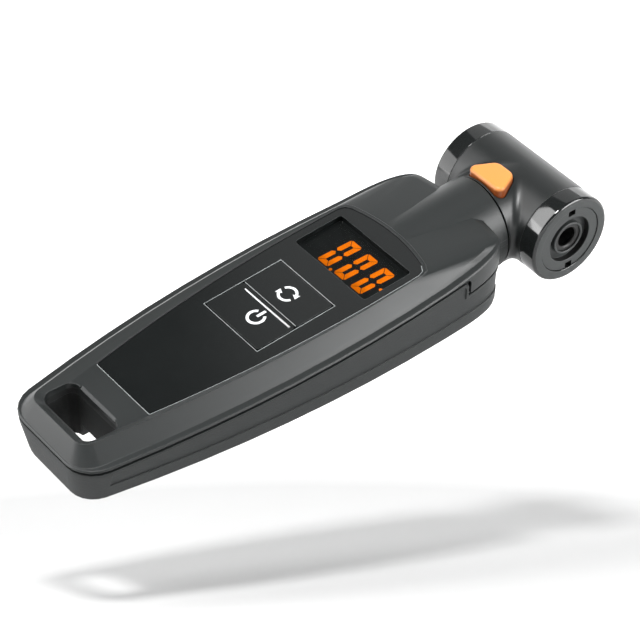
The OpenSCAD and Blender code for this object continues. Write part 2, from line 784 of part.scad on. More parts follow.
module backlight() color("white") deck() translate([window_mid, 0, 0])
    slab(board_z, glass_z) square([glass_l - 2 * strip_w - 2 * fit_gap, glass_w - light_in], center = true);

module contact_strips() color("gray") deck() for (side = [-1, 1])
    translate([window_mid + side * (glass_l - strip_w) / 2, 0, 0])
        slab(board_z, glass_z) square([strip_w, glass_w - light_in], center = true);

// Board with a notch for the air tube
module circuit_board() color("darkgreen") difference() {
    deck() translate([(board_from + board_to) / 2, 0, 0]) slab(board_back_z, board_z)
        rounded(board_to - board_from, board_w, boss_edge);
    boss_places() z_bar(board_screw_r + touch, -board_t - 1, 1);
    deck() translate([notch_at, -notch_w / 2, board_back_z - 1]) cube([far, notch_w, board_t + 2]);
}

module board_screws() color(steel) boss_places() translate([0, 0, -board_t]) {
    z_bar(board_screw_head_r, -board_screw_h, 0);
    z_bar(board_screw_r, 0, board_t + floor_z - board_z - 2 * board_screw_end);
}

module key_switches() color("dimgray") deck() for (s = [power_mid, mode_mid]) translate([s, 0, board_z]) {
    slab(0, switch_h) square([switch_w, switch_w], center = true);
    z_bar(switch_r, switch_h, switch_h + switch_button_h);
}

// One key: cap, flange under the floor on its outer edges, and plunger
module key(mid, outward) color(gloss_black) deck() translate([mid, 0, 0]) {
    slab(key_flange_z - touch, key_proud) rounded(key_l, key_w, key_corner_r);
    translate([outward * (key_gap + key_flange) / 2, 0, 0]) slab(key_flange_z - key_flange_t, key_flange_z)
        square([key_l + key_gap + key_flange, key_w + 2 * key_gap + 2 * key_flange], center = true);
    z_bar(switch_r, plunger_z, key_flange_z - touch);
}
module mode_key() key(mode_mid, 1);
module power_key() key(power_mid, -1);

module pressure_sensor() color("black") difference() {
    union() {
        air_line() z_bar(port_r, tube_from + tube_l / 2 + touch, tube_from + tube_l + touch);
        air_line() translate([0, 0, tube_from + tube_l])
            slab(0, sensor_w) square([sensor_h, sensor_w], center = true);
    }
    air_line() z_bar(port_bore_r, 0, tube_from + tube_l + sensor_w / 2);
}

module air_tube() color([0.8, 0.8, 0.76]) air_line() difference() {
    z_bar(tube_r, tube_from, tube_from + tube_l);
    z_bar(port_r + touch, 0, far);
}

module swivel_socket() color(acetal) difference() {
    union() {
        swivel() x_bar(socket_r, socket_rear, socket_front);
        swivel() x_bar(socket_rib_r, socket_chamber - socket_rib_t, socket_chamber);
        air_line() z_bar(port_r, -1, tube_from + tube_l / 2 - touch);
    }
    swivel() x_bar(shaft_r + run_gap, socket_chamber, socket_front + 1);
    air_line() z_bar(port_bore_r, -socket_back_t - 1, far);
}

module coin_cell() color(steel) battery() {
    z_bar(cell_r, cell_z + cell_step, cell_top);
    z_bar(cell_r - cell_rim, cell_z, cell_z + cell_step);
}

// Springy strips from the board to the cell's face and to its edge
module under_board() difference() {
    children();
    deck() slab(board_back_z, far) square(2 * far, center = true);
}
module cell_contact_minus() color(steel) under_board() battery() translate([0, 0, cell_top + touch]) {
    translate([-cell_r / 2, -contact_w / 2, 0]) cube([cell_r, contact_w, contact_t]);
    translate([-cell_r / 2, -contact_w / 2, 0]) cube([contact_t, contact_w, far / 4]);
}
module cell_contact_plus() color(steel) under_board() battery()
    translate([-contact_w / 2, cell_r + touch, cell_z + cell_gap]) cube([contact_w, contact_t, far / 4]);

module housing_screws() color(steel) screw_places() {
    z_bar(screw_head_r, -screw_head_h, 0);
    z_bar(screw_r, -screw_head_h / 2, screw_l);
}

module battery_cover() color(housing_grey) battery() difference() {
    union() {
        z_bar(cover_r, cover_sunk, cover_top);
        z_bar(cover_boss_r, cover_top - 1, cell_z - touch);
        for (k = [0 : lugs - 1]) rotate([0, 0, k * 360 / lugs - lug_angle / 2]) translate([0, 0, lug_z])
            rotate_extrude(angle = lug_angle) translate([cover_r - 1, 0]) square([lug_reach + 1, lug_h]);
    }
    translate([0, 0, coin_slot[2] / 2 + cover_sunk - touch]) cube(coin_slot + [0, 0, touch], center = true);
}

module cover_seal() color(rubber_black) battery()
    translate([0, 0, cover_top + cover_seal_r + touch]) ring(seal_mid_r, cover_seal_r);

// Soft blend between stem and barrel: a fillet in each level, as far as the stem leaves room
function chord(z) = sqrt(barrel_r * barrel_r - z * z);
function fillet(z) = min(blend_r, 0.9 * (-stem_rear - chord(z)), 0.8 * chord(z));
module blend(steps = 20, arc_n = 8, top_angle = 66, root = 1) loft([for (k = [0 : steps])
    let (z = barrel_r * sin(-top_angle + 2 * top_angle * k / steps),
         c = chord(z),
         f = fillet(z),
         mid = c + f - 2 * touch)
    concat([[-c + root, c - root, z]],
           [for (j = [arc_n : -1 : 0]) let (a = 90 * j / arc_n) [f * cos(a) - mid, mid - f * sin(a), z]])]);

module button_outline(grow) hull() {
    r = button_corner_r + grow;
    for (side = [-1, 1]) {
        translate([button_rear + button_corner_r, side * (button_w / 2 - button_corner_r)])
            circle(r = r, $fn = 24);
        translate([button_rear + button_l - button_corner_r, side * (button_nose_w / 2 - button_corner_r)])
            circle(r = r, $fn = 24);
    }
}

module head_barrel() color(housing_grey) difference() {
    union() {
        head() {
            y_bar(barrel_r, -seam_y, seam_y);
            x_bar(barrel_r, stem_rear, 0);
            blend();
            mirror([0, 1, 0]) blend();
        }
    }
    head() {
        y_bar(chamber_r, -web_y - 1, web_y + 1);
        for (side = [-1, 1]) scale([1, side, 1]) y_bar(cap_thread_r + touch, web_y, seam_y + 1);
        x_bar(spigot_end_r + touch / 2, stem_rear - 1, stem_rear + spigot_end_l + touch);
        x_bar(air_r, stem_rear, -chamber_r + 1);
        slab(pocket_low, far / 2) button_outline(button_gap);
    }
    release() {
        z_bar(stem_pin_r + run_gap, -air_r / 3, pocket_low + 1);
        z_bar(spring_well_r, spring_low, pocket_low + 1);
    }
}

// End ring of the barrel, drawn for the side at +Y
module end_cap() along_y() difference() {
    union() {
        translate([0, seam_y]) square([barrel_r - cap_round, cap_l]);
        translate([0, seam_y]) square([barrel_r, cap_l - cap_round]);
        translate([barrel_r - cap_round, barrel_half - cap_round]) circle(r = cap_round);
        translate([0, web_y + touch]) square([cap_thread_r, cap_thread_l]);
    }
    translate([-1, 0]) square([cap_bore_r + 1, barrel_half + 1]);
    translate([-1, seat_y]) square([insert_r + touch + 1, insert_seat + 1]);
}

// Screwed disc with a dished middle, two spanner notches and the valve's hole
module insert(hole_r) difference() {
    along_y() difference() {
        union() {
            translate([0, seat_y]) square([insert_r, insert_seat - insert_sunk]);
            translate([0, insert_back]) square([cap_bore_r - touch, insert_boss_l + touch]);
        }
        translate([-1, barrel_half - insert_sunk - dish_d]) square([dish_r + 1, dish_d + 1]);
    }
    y_bar(hole_r, 0, far / 2);
    for (side = [-1, 1]) translate([0, barrel_half - insert_sunk, side * insert_r])
        cube([notch[0], 2 * notch[1], 2 * notch[2]], center = true);
}

module seal(hole_r) along_y() translate([hole_r + seal_relief, web_y])
    square([seal_r - hole_r - seal_relief, insert_back - web_y]);

module schrader_side() head() mirror([0, 1, 0]) children();
module presta_side() head() children();

module schrader_cap() color(gloss_black) schrader_side() end_cap();
module presta_cap() color(gloss_black) presta_side() end_cap();
module schrader_insert() color(housing_grey) schrader_side() insert(schrader_r);
module presta_insert() color(housing_grey) presta_side() insert(presta_r);
module schrader_seal() color(rubber_black) schrader_side() seal(schrader_r);
module presta_seal() color(rubber_black) presta_side() seal(presta_r);

// Hollow pivot: end in the head, neck, trapped flange, and shaft with two ring grooves
module swivel_spigot() color(acetal) swivel() difference() {
    union() {
        x_bar(shaft_r, shaft_end, swivel_gap);
        x_bar(flange_r, groove_rear + play, groove_front - play);
        x_bar(spigot_neck_r, groove_front - play - touch, swivel_gap);
        x_bar(spigot_end_r, 0, swivel_gap + spigot_end_l);
    }
    x_bar(air_r, shaft_end - 1, far);
    for (x = shaft_rings) along_x() translate([ring_floor - touch, x - ring_r - touch])
        square([shaft_r, 2 * ring_r + 2 * touch]);
}

module swivel_seals() color(rubber_black) swivel() for (x = shaft_rings)
    translate([x, 0, 0]) rotate([0, 90, 0]) ring(ring_floor + ring_r, ring_r);

// Shuttle with a waist for the air, a cup on one side and a pin on the other
module valve_shuttle() color(brass) head() difference() {
    union() {
        y_bar(waist_r, -shuttle_half, shuttle_half);
        y_bar(shuttle_r, -shuttle_half, -waist_half);
        y_bar(shuttle_r, waist_half, shuttle_half);
        y_bar(cup_r, waist_half, shuttle_half + cup_l);
    }
    y_bar(cup_bore_r, shuttle_half, far / 2);
    y_bar(pin_r + touch / 2, -far / 2, -shuttle_half + cup_l);
}

module schrader_pin() color(steel) head() y_bar(pin_r, -shuttle_half - pin_reach, -shuttle_half + cup_l);

module release_button() color(button_orange) difference() {
    head() hull() {
        slab(button_low, button_shoulder) button_outline(0);
        slab(button_shoulder, button_top) button_outline(-button_bevel);
    }
    release() z_bar(stem_pin_r + touch / 2, button_low - 1, button_low + stem_hold);
}

module release_stem() color(steel) release() difference() {
    z_bar(stem_pin_r, stem_tip, button_low + stem_hold);
    translate([0, 0, seal_z]) difference() {
        z_bar(2 * stem_pin_r, -release_seal_r - touch, release_seal_r + touch);
        z_bar(stem_pin_r - release_groove, -1, 1);
    }
}

module release_seal() color(rubber_black) release() translate([0, 0, seal_z])
    ring(stem_pin_r + run_gap / 2 - release_seal_r, release_seal_r);

// Coil spring, swept along a helix
module release_spring(ring_n = 6, per_turn = 12) color(steel) release() {
    low = spring_low + spring_wire_r + 2 * touch;
    rise = button_low - spring_low - 2 * spring_wire_r - 4 * touch;
    count = spring_coils * per_turn;
    loft([for (k = [0 : count])
        let (turn = 360 * k / per_turn)
        [for (j = [0 : ring_n - 1])
            let (a = 360 * j / ring_n, r = spring_mid_r + spring_wire_r * cos(a))
            [r * cos(turn), r * sin(turn), low + rise * k / count + spring_wire_r * sin(a)]]]);
}

top_shell();
bottom_shell();
face_panel();
display_lens();
lcd_glass();
backlight();
contact_strips();
circuit_board();
board_screws();
key_switches();
pressure_sensor();
air_tube();
swivel_socket();
coin_cell();
cell_contact_plus();
cell_contact_minus();
housing_screws();
battery_cover();
cover_seal();
mode_key();
power_key();
head_barrel();
schrader_cap();
presta_cap();
schrader_insert();
presta_insert();
schrader_seal();
presta_seal();
swivel_spigot();
swivel_seals();
valve_shuttle();
schrader_pin();
release_button();
release_stem();
release_seal();
release_spring();
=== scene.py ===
# %% [markdown]
# # A pocket gauge for tyre pressure, dressed for the studio
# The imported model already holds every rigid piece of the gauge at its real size: two moulded shells,
# a glossy face panel with two keys and a display, and a head that turns on the neck. This lesson
# gives those pieces their finishes and adds what is printed, lit or too small for the solid model.
# Everything is in metres in the model's own frame: X from tail to head, Y across, Z up from the back.

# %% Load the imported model
import math

import bmesh
import bpy
from mathutils import Matrix, Vector


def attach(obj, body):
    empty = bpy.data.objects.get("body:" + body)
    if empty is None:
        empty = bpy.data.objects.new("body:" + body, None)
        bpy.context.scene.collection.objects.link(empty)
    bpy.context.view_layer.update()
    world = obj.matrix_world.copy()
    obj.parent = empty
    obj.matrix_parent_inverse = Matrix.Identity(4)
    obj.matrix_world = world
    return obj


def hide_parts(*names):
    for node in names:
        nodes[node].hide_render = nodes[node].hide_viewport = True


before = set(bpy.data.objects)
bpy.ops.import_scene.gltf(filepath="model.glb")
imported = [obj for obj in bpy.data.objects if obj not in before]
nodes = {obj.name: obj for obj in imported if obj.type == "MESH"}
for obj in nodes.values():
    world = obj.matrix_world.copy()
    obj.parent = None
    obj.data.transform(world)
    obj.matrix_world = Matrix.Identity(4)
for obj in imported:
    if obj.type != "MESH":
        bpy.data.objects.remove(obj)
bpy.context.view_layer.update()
MM = 0.001

# %% [markdown]
# ## The two frames that the small pieces are placed in
# The top of the housing is a deck that rises from tail to head, so a key or a digit is easiest to
# draw flat, in stations from the tail and heights over the panel's face, and then tilted as a whole.
# The valve head has its own middle, where the barrel's axis and the swivel's axis cross. One matrix
# for each turns drawing millimetres into the model's metres.

# %% Deck frame and head frame
DECK_TILT = math.radians(4.3)
HOUSING_LENGTH = 127.8
TAIL_X = -79.55
DECK_HEIGHT = 15.0
AXIS_HEIGHT = 12.55
HEAD_X = 67.25
DECK = (Matrix.Translation(Vector((TAIL_X, 0, DECK_HEIGHT)) * MM)
        @ Matrix.Rotation(-DECK_TILT, 4, "Y") @ Matrix.Scale(MM, 4))
HEAD = Matrix.Translation(Vector((HEAD_X, 0, AXIS_HEIGHT)) * MM) @ Matrix.Scale(MM, 4)
deck_end = DECK @ Vector((HOUSING_LENGTH, 0, 0))
print("the deck's head end lies", round(deck_end.z / MM, 2), "mm over the back")

# %% [markdown]
# ## The camera
# The picture was taken with a long lens from the tail, to the left and above. Rather than aim by
# eye, the camera's three axes are written down as they were solved from the housing's straight
# edges, so every later difference is one of shape or finish and not of the viewpoint.

# %% Camera at the photograph's viewpoint
EYE = Vector((-315.175, -408.95, 470.18)) * MM
FORWARD = Vector((0.45677, 0.58843, -0.66717)).normalized()
UPWARD = Vector((0.40725, 0.52846, 0.74491))
SENSOR, LENS, CLIP = 36, 156.88, (0.01, 50)
RIGHT = FORWARD.cross(UPWARD).normalized()
camera_data = bpy.data.cameras.new("camera")
camera_data.sensor_width = SENSOR
camera_data.lens = LENS
camera_data.clip_start, camera_data.clip_end = CLIP
camera = bpy.data.objects.new("camera", camera_data)
bpy.context.scene.collection.objects.link(camera)
axes = Matrix((RIGHT, RIGHT.cross(FORWARD), -FORWARD)).transposed()
camera.matrix_world = Matrix.Translation(EYE) @ axes.to_4x4()
bpy.context.scene.camera = camera
print("camera", round(math.degrees(math.asin(-FORWARD.z)), 1), "degrees above the horizon")

# %% [markdown]
# ## Shader sums in plain Python
# A finish is mostly sums: a grain times a depth, a mask taken from one. Wiring each Math node by
# hand hides the sum, so one small class wraps a socket. Operators on it add Math nodes, and its
# `node` method adds any other kind, given the values of its sockets and then its settings. Three
# helpers hold what every finish needs: a noise, a tinted colour and a rounded edge that is painted
# paler, partly as wear and partly as a painted highlight.

# %% A socket that can be added and multiplied
class Value:
    def __init__(self, tree, socket=None):
        self.tree = tree
        self.socket = socket

    def node(self, kind, sockets=None, out=0, stops=None, **settings):
        made = self.tree.nodes.new("ShaderNode" + kind)
        for name, setting in settings.items():
            setattr(made, name, setting)
        if stops:
            ramp = made.color_ramp.elements
            while len(ramp) < len(stops):
                ramp.new(1.0)
            for element, (place, colour) in zip(ramp, stops):
                element.position = place
                element.color = colour
        for name, value in (sockets or {}).items():
            if isinstance(value, Value):
                self.tree.links.new(value.socket, made.inputs[name])
            else:
                made.inputs[name].default_value = value
        return Value(self.tree, made.outputs[out])

    def sums(self, operation, first, second, clamp=False):
        return self.node("Math", {0: first, 1: second}, operation=operation, use_clamp=clamp)

    def __add__(self, other):
        return self.sums("ADD", self, other)

    def __sub__(self, other):
        return self.sums("SUBTRACT", self, other)

    def __rsub__(self, other):
        return self.sums("SUBTRACT", other, self)

    def __mul__(self, other):
        return self.sums("MULTIPLY", self, other)

    def clamped(self):
        return self.sums("ADD", self, 0.0, clamp=True)

    __radd__ = __add__


def shader_start(name):
    material = bpy.data.materials.new(name)
    material.use_nodes = True
    principled = material.node_tree.nodes["Principled BSDF"]
    return material, principled, Value(material.node_tree)


def set_shader(material, principled, linked, plain):
    for name, value in linked.items():
        material.node_tree.links.new(value.socket, principled.inputs[name])
    for name, value in plain.items():
        principled.inputs[name].default_value = value
    return material


BEVEL_SAMPLES = 6


def noise(place, scale, detail):
    return place.node("TexNoise", {"Vector": place, "Scale": scale, "Detail": detail})


def tinted(colour, tone):
    return tone.node("VectorMath", {0: colour, "Scale": tone}, operation="SCALE")


# Rounds the edge's normal and gives a mask that paints the edge paler: partly wear, partly a painted
# highlight.
def edge_wear_and_sheen(start, radius_mm, sharpness):
    rounded = start.node("Bevel", {"Radius": radius_mm * MM}, samples=BEVEL_SAMPLES)
    true_normal = start.node("NewGeometry", out=1)
    along = start.node("VectorMath", {0: rounded, 1: true_normal}, out=1, operation="DOT_PRODUCT")
    return rounded, ((1 - along) * sharpness).clamped()


print("shader sums ready")

# %% [markdown]
# ## Moulded plastic
# Both shells come from a spark-eroded mould: the colour is even, but the skin has a fine grain, the
# gloss wanders a little, and every edge has a small radius that catches light. The edge is painted
# paler, partly as rubbing wear and partly as a painted highlight. The grain is noise in millimetres,
# and the edge comes from comparing the true normal with one that is averaged over the edge's radius.
# Inside the lanyard slot the walls are painted dark and dull, as painted shade.

# %% Moulded plastic finish
# Painted shade: inside the lanyard slot, below the deck, the walls are painted darker and made duller.
SLOT_MID, SLOT_HALF, SLOT_TOP, SLOT_SOFT = (-68.9, 0.0), (4.9, 10.35), 15.1, 0.4
SLOT_SHADE, SLOT_DULL = 0.85, 0.35
DRIFT_SCALE, MOULD_EDGE, TONE_SHARE = 90.0, 3.0, 0.06
GRAIN_DULL, DRIFT_DULL, EDGE_GLOSS = 0.06, 0.05, 0.06


def slot_shade_mask(place):
    inside = place.node("SeparateXYZ", {0: place}, out=2) * -1 + SLOT_TOP * MM
    shade = (inside * (1 / (SLOT_SOFT * MM))).clamped()
    for axis in (0, 1):
        away = place.node("SeparateXYZ", {0: place}, out=axis) - SLOT_MID[axis] * MM
        reach = SLOT_HALF[axis] * MM - away.node("Math", {0: away}, operation="ABSOLUTE")
        shade = shade * (reach * (1 / (SLOT_SOFT * MM))).clamped()
    return shade


def moulded(name, colour, rough, grain_mm, grain_depth, edge_mm, wear_and_sheen_gain, slot_shaded=False):
    material, principled, start = shader_start(name)
    place = start.node("TexCoord", out=3)
    grain = noise(place, 1 / (grain_mm * MM), 3.0)
    drift = noise(place, DRIFT_SCALE, 2.0)
    rounded, edge = edge_wear_and_sheen(start, edge_mm, MOULD_EDGE)
    # The edge is painted paler here, partly as wear and partly as a painted highlight.
    tone = 1 - TONE_SHARE + grain * TONE_SHARE + drift * TONE_SHARE + edge * wear_and_sheen_gain
    dull = rough - DRIFT_DULL + grain * GRAIN_DULL + drift * DRIFT_DULL - edge * EDGE_GLOSS
    # Painted shade on the slot's walls.
    if slot_shaded:
        slot_shade = slot_shade_mask(place)
        tone = tone * (1 - slot_shade * SLOT_SHADE)
        dull = dull + slot_shade * SLOT_DULL
    skin = start.node("Bump", {"Strength": 1.0, "Distance": grain_depth * MM,
                               "Height": grain, "Normal": rounded})
    linked = {"Base Color": tinted(colour, tone), "Normal": skin, "Roughness": dull}
    return set_shader(material, principled, linked, {})


HOUSING_GREY = (0.009, 0.011, 0.011)
# colour, roughness, grain and its depth in mm, edge radius in mm, how much paler the edge is painted,
# for wear and as a painted highlight
satin_shell = moulded("satin_shell", HOUSING_GREY, 0.42, 0.16, 0.006, 0.30, 0.35, slot_shaded=True)
grained_shell = moulded("grained_shell", HOUSING_GREY, 0.55, 0.55, 0.07, 0.30, 0.30, slot_shaded=True)
satin_head = moulded("satin_head", (0.008, 0.0095, 0.0095), 0.36, 0.16, 0.005, 0.25, 0.35)
insert_black = moulded("insert_black", (0.030, 0.033, 0.033), 0.45, 0.12, 0.004, 0.15, 0.35)
# Painted shade: a near-black, darker than the disc's grey and the rubber, for the valve hole's walls,
# groove wall, notches and seal.
bore_shade_black = moulded("bore_shade_black", (0.004, 0.004, 0.004), 0.45, 0.20, 0.006, 0.15, 0.20)
rubber_black = moulded("rubber_black", (0.018, 0.018, 0.019), 0.60, 0.20, 0.010, 0.15, 0.20)
acetal_white = moulded("acetal_white", (0.72, 0.70, 0.65), 0.40, 0.20, 0.004, 0.20, 0.05)
board_green = moulded("board_green", (0.015, 0.13, 0.05), 0.35, 0.30, 0.004, 0.10, 0.10)
chip_black = moulded("chip_black", (0.02, 0.02, 0.022), 0.50, 0.15, 0.008, 0.10, 0.20)
diffuser_white = moulded("diffuser_white", (0.80, 0.78, 0.73), 0.50, 0.30, 0.004, 0.10, 0.02)
silicone_pale = moulded("silicone_pale", (0.55, 0.55, 0.52), 0.45, 0.25, 0.006, 0.15, 0.05)
print("moulded finishes ready")

# %% [markdown]
# ## Gloss black
# The panel, the keys and the two end caps are polished black. On such a surface the colour hardly
# matters: what is seen is the room. It gets a thin clear coat, faint rubbing marks in the gloss,
# and rounded edges, because a sharp edge on gloss black shows no light line at all. Those edges
# are also painted far paler, as a painted highlight that draws the light lines round the keys.

# %% Gloss black finish
SMEAR_SCALE, SPECK_SCALE, SPECK_DEPTH = 140.0, 5200.0, 0.0008
SMEAR_TONE, SMEAR_DULL, GLOSS_EDGE = 0.2, 0.06, 4.0


def polished(name, colour, rough, edge_mm, wear_and_sheen_gain, **plain):
    material, principled, start = shader_start(name)
    place = start.node("TexCoord", out=3)
    smear = noise(place, SMEAR_SCALE, 4.0)
    speck = noise(place, SPECK_SCALE, 1.0)
    rounded, edge = edge_wear_and_sheen(start, edge_mm, GLOSS_EDGE)
    # The edge is painted paler here, as a painted highlight.
    tone = 1 - SMEAR_TONE / 2 + smear * SMEAR_TONE + edge * wear_and_sheen_gain
    dull = rough - SMEAR_DULL / 2 + smear * SMEAR_DULL
    skin = start.node("Bump", {"Strength": 1.0, "Distance": SPECK_DEPTH * MM,
                               "Height": speck, "Normal": rounded})
    linked = {"Base Color": tinted(colour, tone), "Normal": skin, "Roughness": dull}
    return set_shader(material, principled, linked, plain)


# colour, roughness, edge radius in mm, how much paler the edge is painted as a painted highlight
panel_black = polished("panel_black", (0.006, 0.007, 0.007), 0.16, 0.18, 6.0,
                       **{"Specular IOR Level": 0.42})
key_black = polished("key_black", (0.007, 0.008, 0.008), 0.18, 0.16, 8.0,
                     **{"Specular IOR Level": 0.42})
cap_black = polished("cap_black", (0.008, 0.009, 0.009), 0.10, 0.30, 2.0,
                     **{"Coat Weight": 0.4, "Coat Roughness": 0.04})
print("polished finishes ready")

# %% [markdown]
# ## Metal
# The screws, the cell and the valve's inner pieces are turned or stamped metal. Turning leaves fine
# lines round the axis; a stretched noise stands for them in the gloss, which is enough at this size.

# %% Turned and plated metal
LINE_STRETCH = (300.0, 9000.0, 9000.0)
MARK_TONE, MARK_DULL, MARK_BUMP, MARK_DEPTH = 0.24, 0.16, 0.6, 0.002


def turned(name, colour, rough):
    material, principled, start = shader_start(name)
    place = start.node("TexCoord", out=3)
    marks = noise(start.node("Mapping", {"Vector": place, "Scale": LINE_STRETCH}), 1.0, 2.0)
    tone = 1 - MARK_TONE / 2 + marks * MARK_TONE
    dull = rough - MARK_DULL / 2 + marks * MARK_DULL
    skin = start.node("Bump", {"Strength": MARK_BUMP, "Distance": MARK_DEPTH * MM, "Height": marks})
    linked = {"Base Color": tinted(colour, tone), "Normal": skin, "Roughness": dull}
    return set_shader(material, principled, linked, {"Metallic": 1.0})


plated_steel = turned("plated_steel", (0.62, 0.63, 0.65), 0.28)
dark_steel = turned("dark_steel", (0.16, 0.16, 0.17), 0.38)
turned_brass = turned("turned_brass", (0.72, 0.52, 0.22), 0.30)
print("metals ready")

# %% [markdown]
# ## Dressing the solids
# Each solid keeps its shape and gets its finish. The file stores every facet apart, so the solids
# would look faceted: a weld, a split at real edges and weights by area make the curves smooth and
# leave the flats flat, without touching the solid's own points.

# %% Give every solid its finish
WELD_MM, FLAT_WEIGHT = 0.002, 50


def dress(names, material, split=32):
    for name in names:
        solid = nodes[name]
        solid.data.materials.clear()
        solid.data.materials.append(material)
        if "custom_normal" in solid.data.attributes:
            solid.data.attributes.remove(solid.data.attributes["custom_normal"])
        solid.data.polygons.foreach_set("use_smooth", [True] * len(solid.data.polygons))
        weld = solid.modifiers.new("weld", "WELD")
        weld.merge_threshold = WELD_MM * MM
        edges = solid.modifiers.new("edges", "EDGE_SPLIT")
        edges.split_angle = math.radians(split)
        flats = solid.modifiers.new("flats", "WEIGHTED_NORMAL")
        flats.mode = "FACE_AREA"
        flats.weight = FLAT_WEIGHT


dress(["top_shell"], satin_shell, 24)
dress(["bottom_shell", "battery_cover"], grained_shell, 24)
dress(["face_panel"], panel_black)
dress(["mode_key", "power_key"], key_black)
dress(["presta_insert"], insert_black)
dress(["presta_seal", "swivel_seals", "release_seal", "cover_seal"], rubber_black)
dress(["swivel_socket", "swivel_spigot"], acetal_white)
dress(["circuit_board"], board_green)
dress(["key_switches", "pressure_sensor"], chip_black)
dress(["contact_strips", "air_tube"], silicone_pale)
dress(["backlight"], diffuser_white)
dress(["coin_cell", "cell_contact_plus", "cell_contact_minus", "board_screws", "schrader_pin",
       "release_stem", "release_spring"], plated_steel)
dress(["housing_screws"], dark_steel)
dress(["valve_shuttle"], turned_brass)
print("dressed", sum(1 for solid in nodes.values() if solid.modifiers), "solids")

# %% [markdown]
# ## Small solids from outlines
# The prints, the digits and the lens are all flat shapes with a little height. One helper lifts an
# outline through a list of steps, each a height and an inset, so the same call makes a sharp print
# or a plate with a rounded rim.

# %% Outline helpers
def oblong(low, high):
    return [Vector(spot) for spot in ((low[0], low[1]), (high[0], low[1]),
                                      (high[0], high[1]), (low[0], high[1]))]


def rounded_outline(corners, radius, count=8):
    points = []
    for k, corner in enumerate(corners):
        here = Vector(corner)
        before = (here - Vector(corners[k - 1])).normalized()
        after = (Vector(corners[(k + 1) % len(corners)]) - here).normalized()
        first = math.atan2(-before.x, before.y)
        turn = (math.atan2(-after.x, after.y) - first) % (2 * math.pi)
        inward = (after - before).normalized() * radius / math.cos(turn / 2)
        for j in range(count + 1):
            angle = first + turn * j / count + math.pi
            points.append(here + inward + radius * Vector((math.cos(angle), math.sin(angle))))
    return points


def lift(bm, outline, steps):
    centre = sum(outline, Vector((0, 0))) / len(outline)
    rings = []
    for height, inset in steps:
        ring = []
        for k, point in enumerate(outline):
            along = (outline[(k + 1) % len(outline)] - outline[k - 1]).normalized()
            inward = Vector((-along.y, along.x))
            if inward.dot(centre - point) < 0:
                inward = -inward
            spot = point + inward * inset
            ring.append(bm.verts.new((spot.x, spot.y, height)))
        rings.append(ring)
    for low, high in zip(rings, rings[1:]):
        for k in range(len(low)):
            j = (k + 1) % len(low)
            bm.faces.new((low[k], low[j], high[j], high[k]))
    bm.faces.new(list(reversed(rings[0])))
    bm.faces.new(rings[-1])


def make_piece(name, bm, place, body, material, smooth=None):
    bmesh.ops.recalc_face_normals(bm, faces=bm.faces)
    bm.transform(place)
    mesh = bpy.data.meshes.new(name)
    bm.to_mesh(mesh)
    bm.free()
    made = bpy.data.objects.new(name, mesh)
    bpy.context.scene.collection.objects.link(made)
    for finish in material if isinstance(material, list) else [material]:
        mesh.materials.append(finish)
    if smooth:
        mesh.polygons.foreach_set("use_smooth", [True] * len(mesh.polygons))
        mesh.set_sharp_from_angle(angle=math.radians(smooth))
    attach(made, body)
    print(name, len(mesh.vertices), "points")
    return made


def stands_for(node):
    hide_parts(node)


def carve(piece, core, place, smooth):
    core.transform(place)
    core_mesh = bpy.data.meshes.new("core")
    core.to_mesh(core_mesh)
    core.free()
    core_object = bpy.data.objects.new("core", core_mesh)
    bpy.context.scene.collection.objects.link(core_object)
    cut = piece.modifiers.new("cut", "BOOLEAN")
    cut.operation = "DIFFERENCE"
    cut.solver = "EXACT"
    cut.object = core_object
    bpy.context.view_layer.update()
    seen = piece.evaluated_get(bpy.context.evaluated_depsgraph_get())
    carved = bpy.data.meshes.new_from_object(seen)
    piece.modifiers.clear()
    piece.data = carved
    bpy.data.objects.remove(core_object)
    carved.polygons.foreach_set("use_smooth", [True] * len(carved.polygons))
    carved.set_sharp_from_angle(angle=math.radians(smooth))
    print(piece.name, len(carved.polygons), "faces after the cut")


def ribbon(bm, path, insets, heights, closed=False):
    rows, last = [], len(path) - 1
    for k, point in enumerate(path):
        before = path[k - 1] if closed or k else 2 * point - path[1]
        after = path[(k + 1) % len(path)] if closed or k < last else 2 * point - path[k - 1]
        coming, going = (point - before).normalized(), (after - point).normalized()
        along = (coming + going).normalized()
        inward = Vector((-along.y, along.x)) / max(0.5, along.dot(going))
        low, high = (point + inward * inset for inset in insets)
        section = ((low, heights[0]), (high, heights[0]), (high, heights[1]), (low, heights[1]))
        rows.append([bm.verts.new((spot.x, spot.y, height)) for spot, height in section])
    for one, two in zip(rows, rows[1:] + rows[:1] if closed else rows[1:]):
        for k in range(4):
            j = (k + 1) % 4
            bm.faces.new((one[k], one[j], two[j], two[k]))
    if not closed:
        bm.faces.new(rows[0])
        bm.faces.new(list(reversed(rows[-1])))


print("outline helpers ready")


# %% [markdown]
# ## The valve head
# The head is one moulding: a barrel across the gauge, and a stem of the same size that meets it and
# ends at the swivel. At each height its outline is a plain cross-cut of both, with a small fillet in
# the two inner corners, so the skin is lofted through 45 such outlines from bottom to top. The
# pocket for the button is then cut into it, as a core in the mould would leave it.

# %% Barrel and stem in one skin
BARREL_R, STEM_REAR, SEAM = 12.3, -13.7, 14.4
FILLET, FILLET_EASE, STEM_SHARE = 2.4, 2.5, 0.9
LEVELS, STEM_STEPS, FILLET_STEPS, BARREL_STEPS, FRONT_STEPS = 44, 6, 10, 8, 4
MERGE = 0.0005
BUTTON_REAR, BUTTON_LENGTH, BUTTON_WIDTH, BUTTON_NOSE = -12.95, 7.9, 12.2, 8.6
BUTTON_CORNER, BUTTON_TIP = 1.8, 2.8
BUTTON_LOW, BUTTON_TOP, BUTTON_GAP, BUTTON_ROUND, POCKET_LOW = 9.6, 13.5, 0.25, 1.0, 8.0


def steps(first, last, count):
    return [first + (last - first) * k / count for k in range(count)]


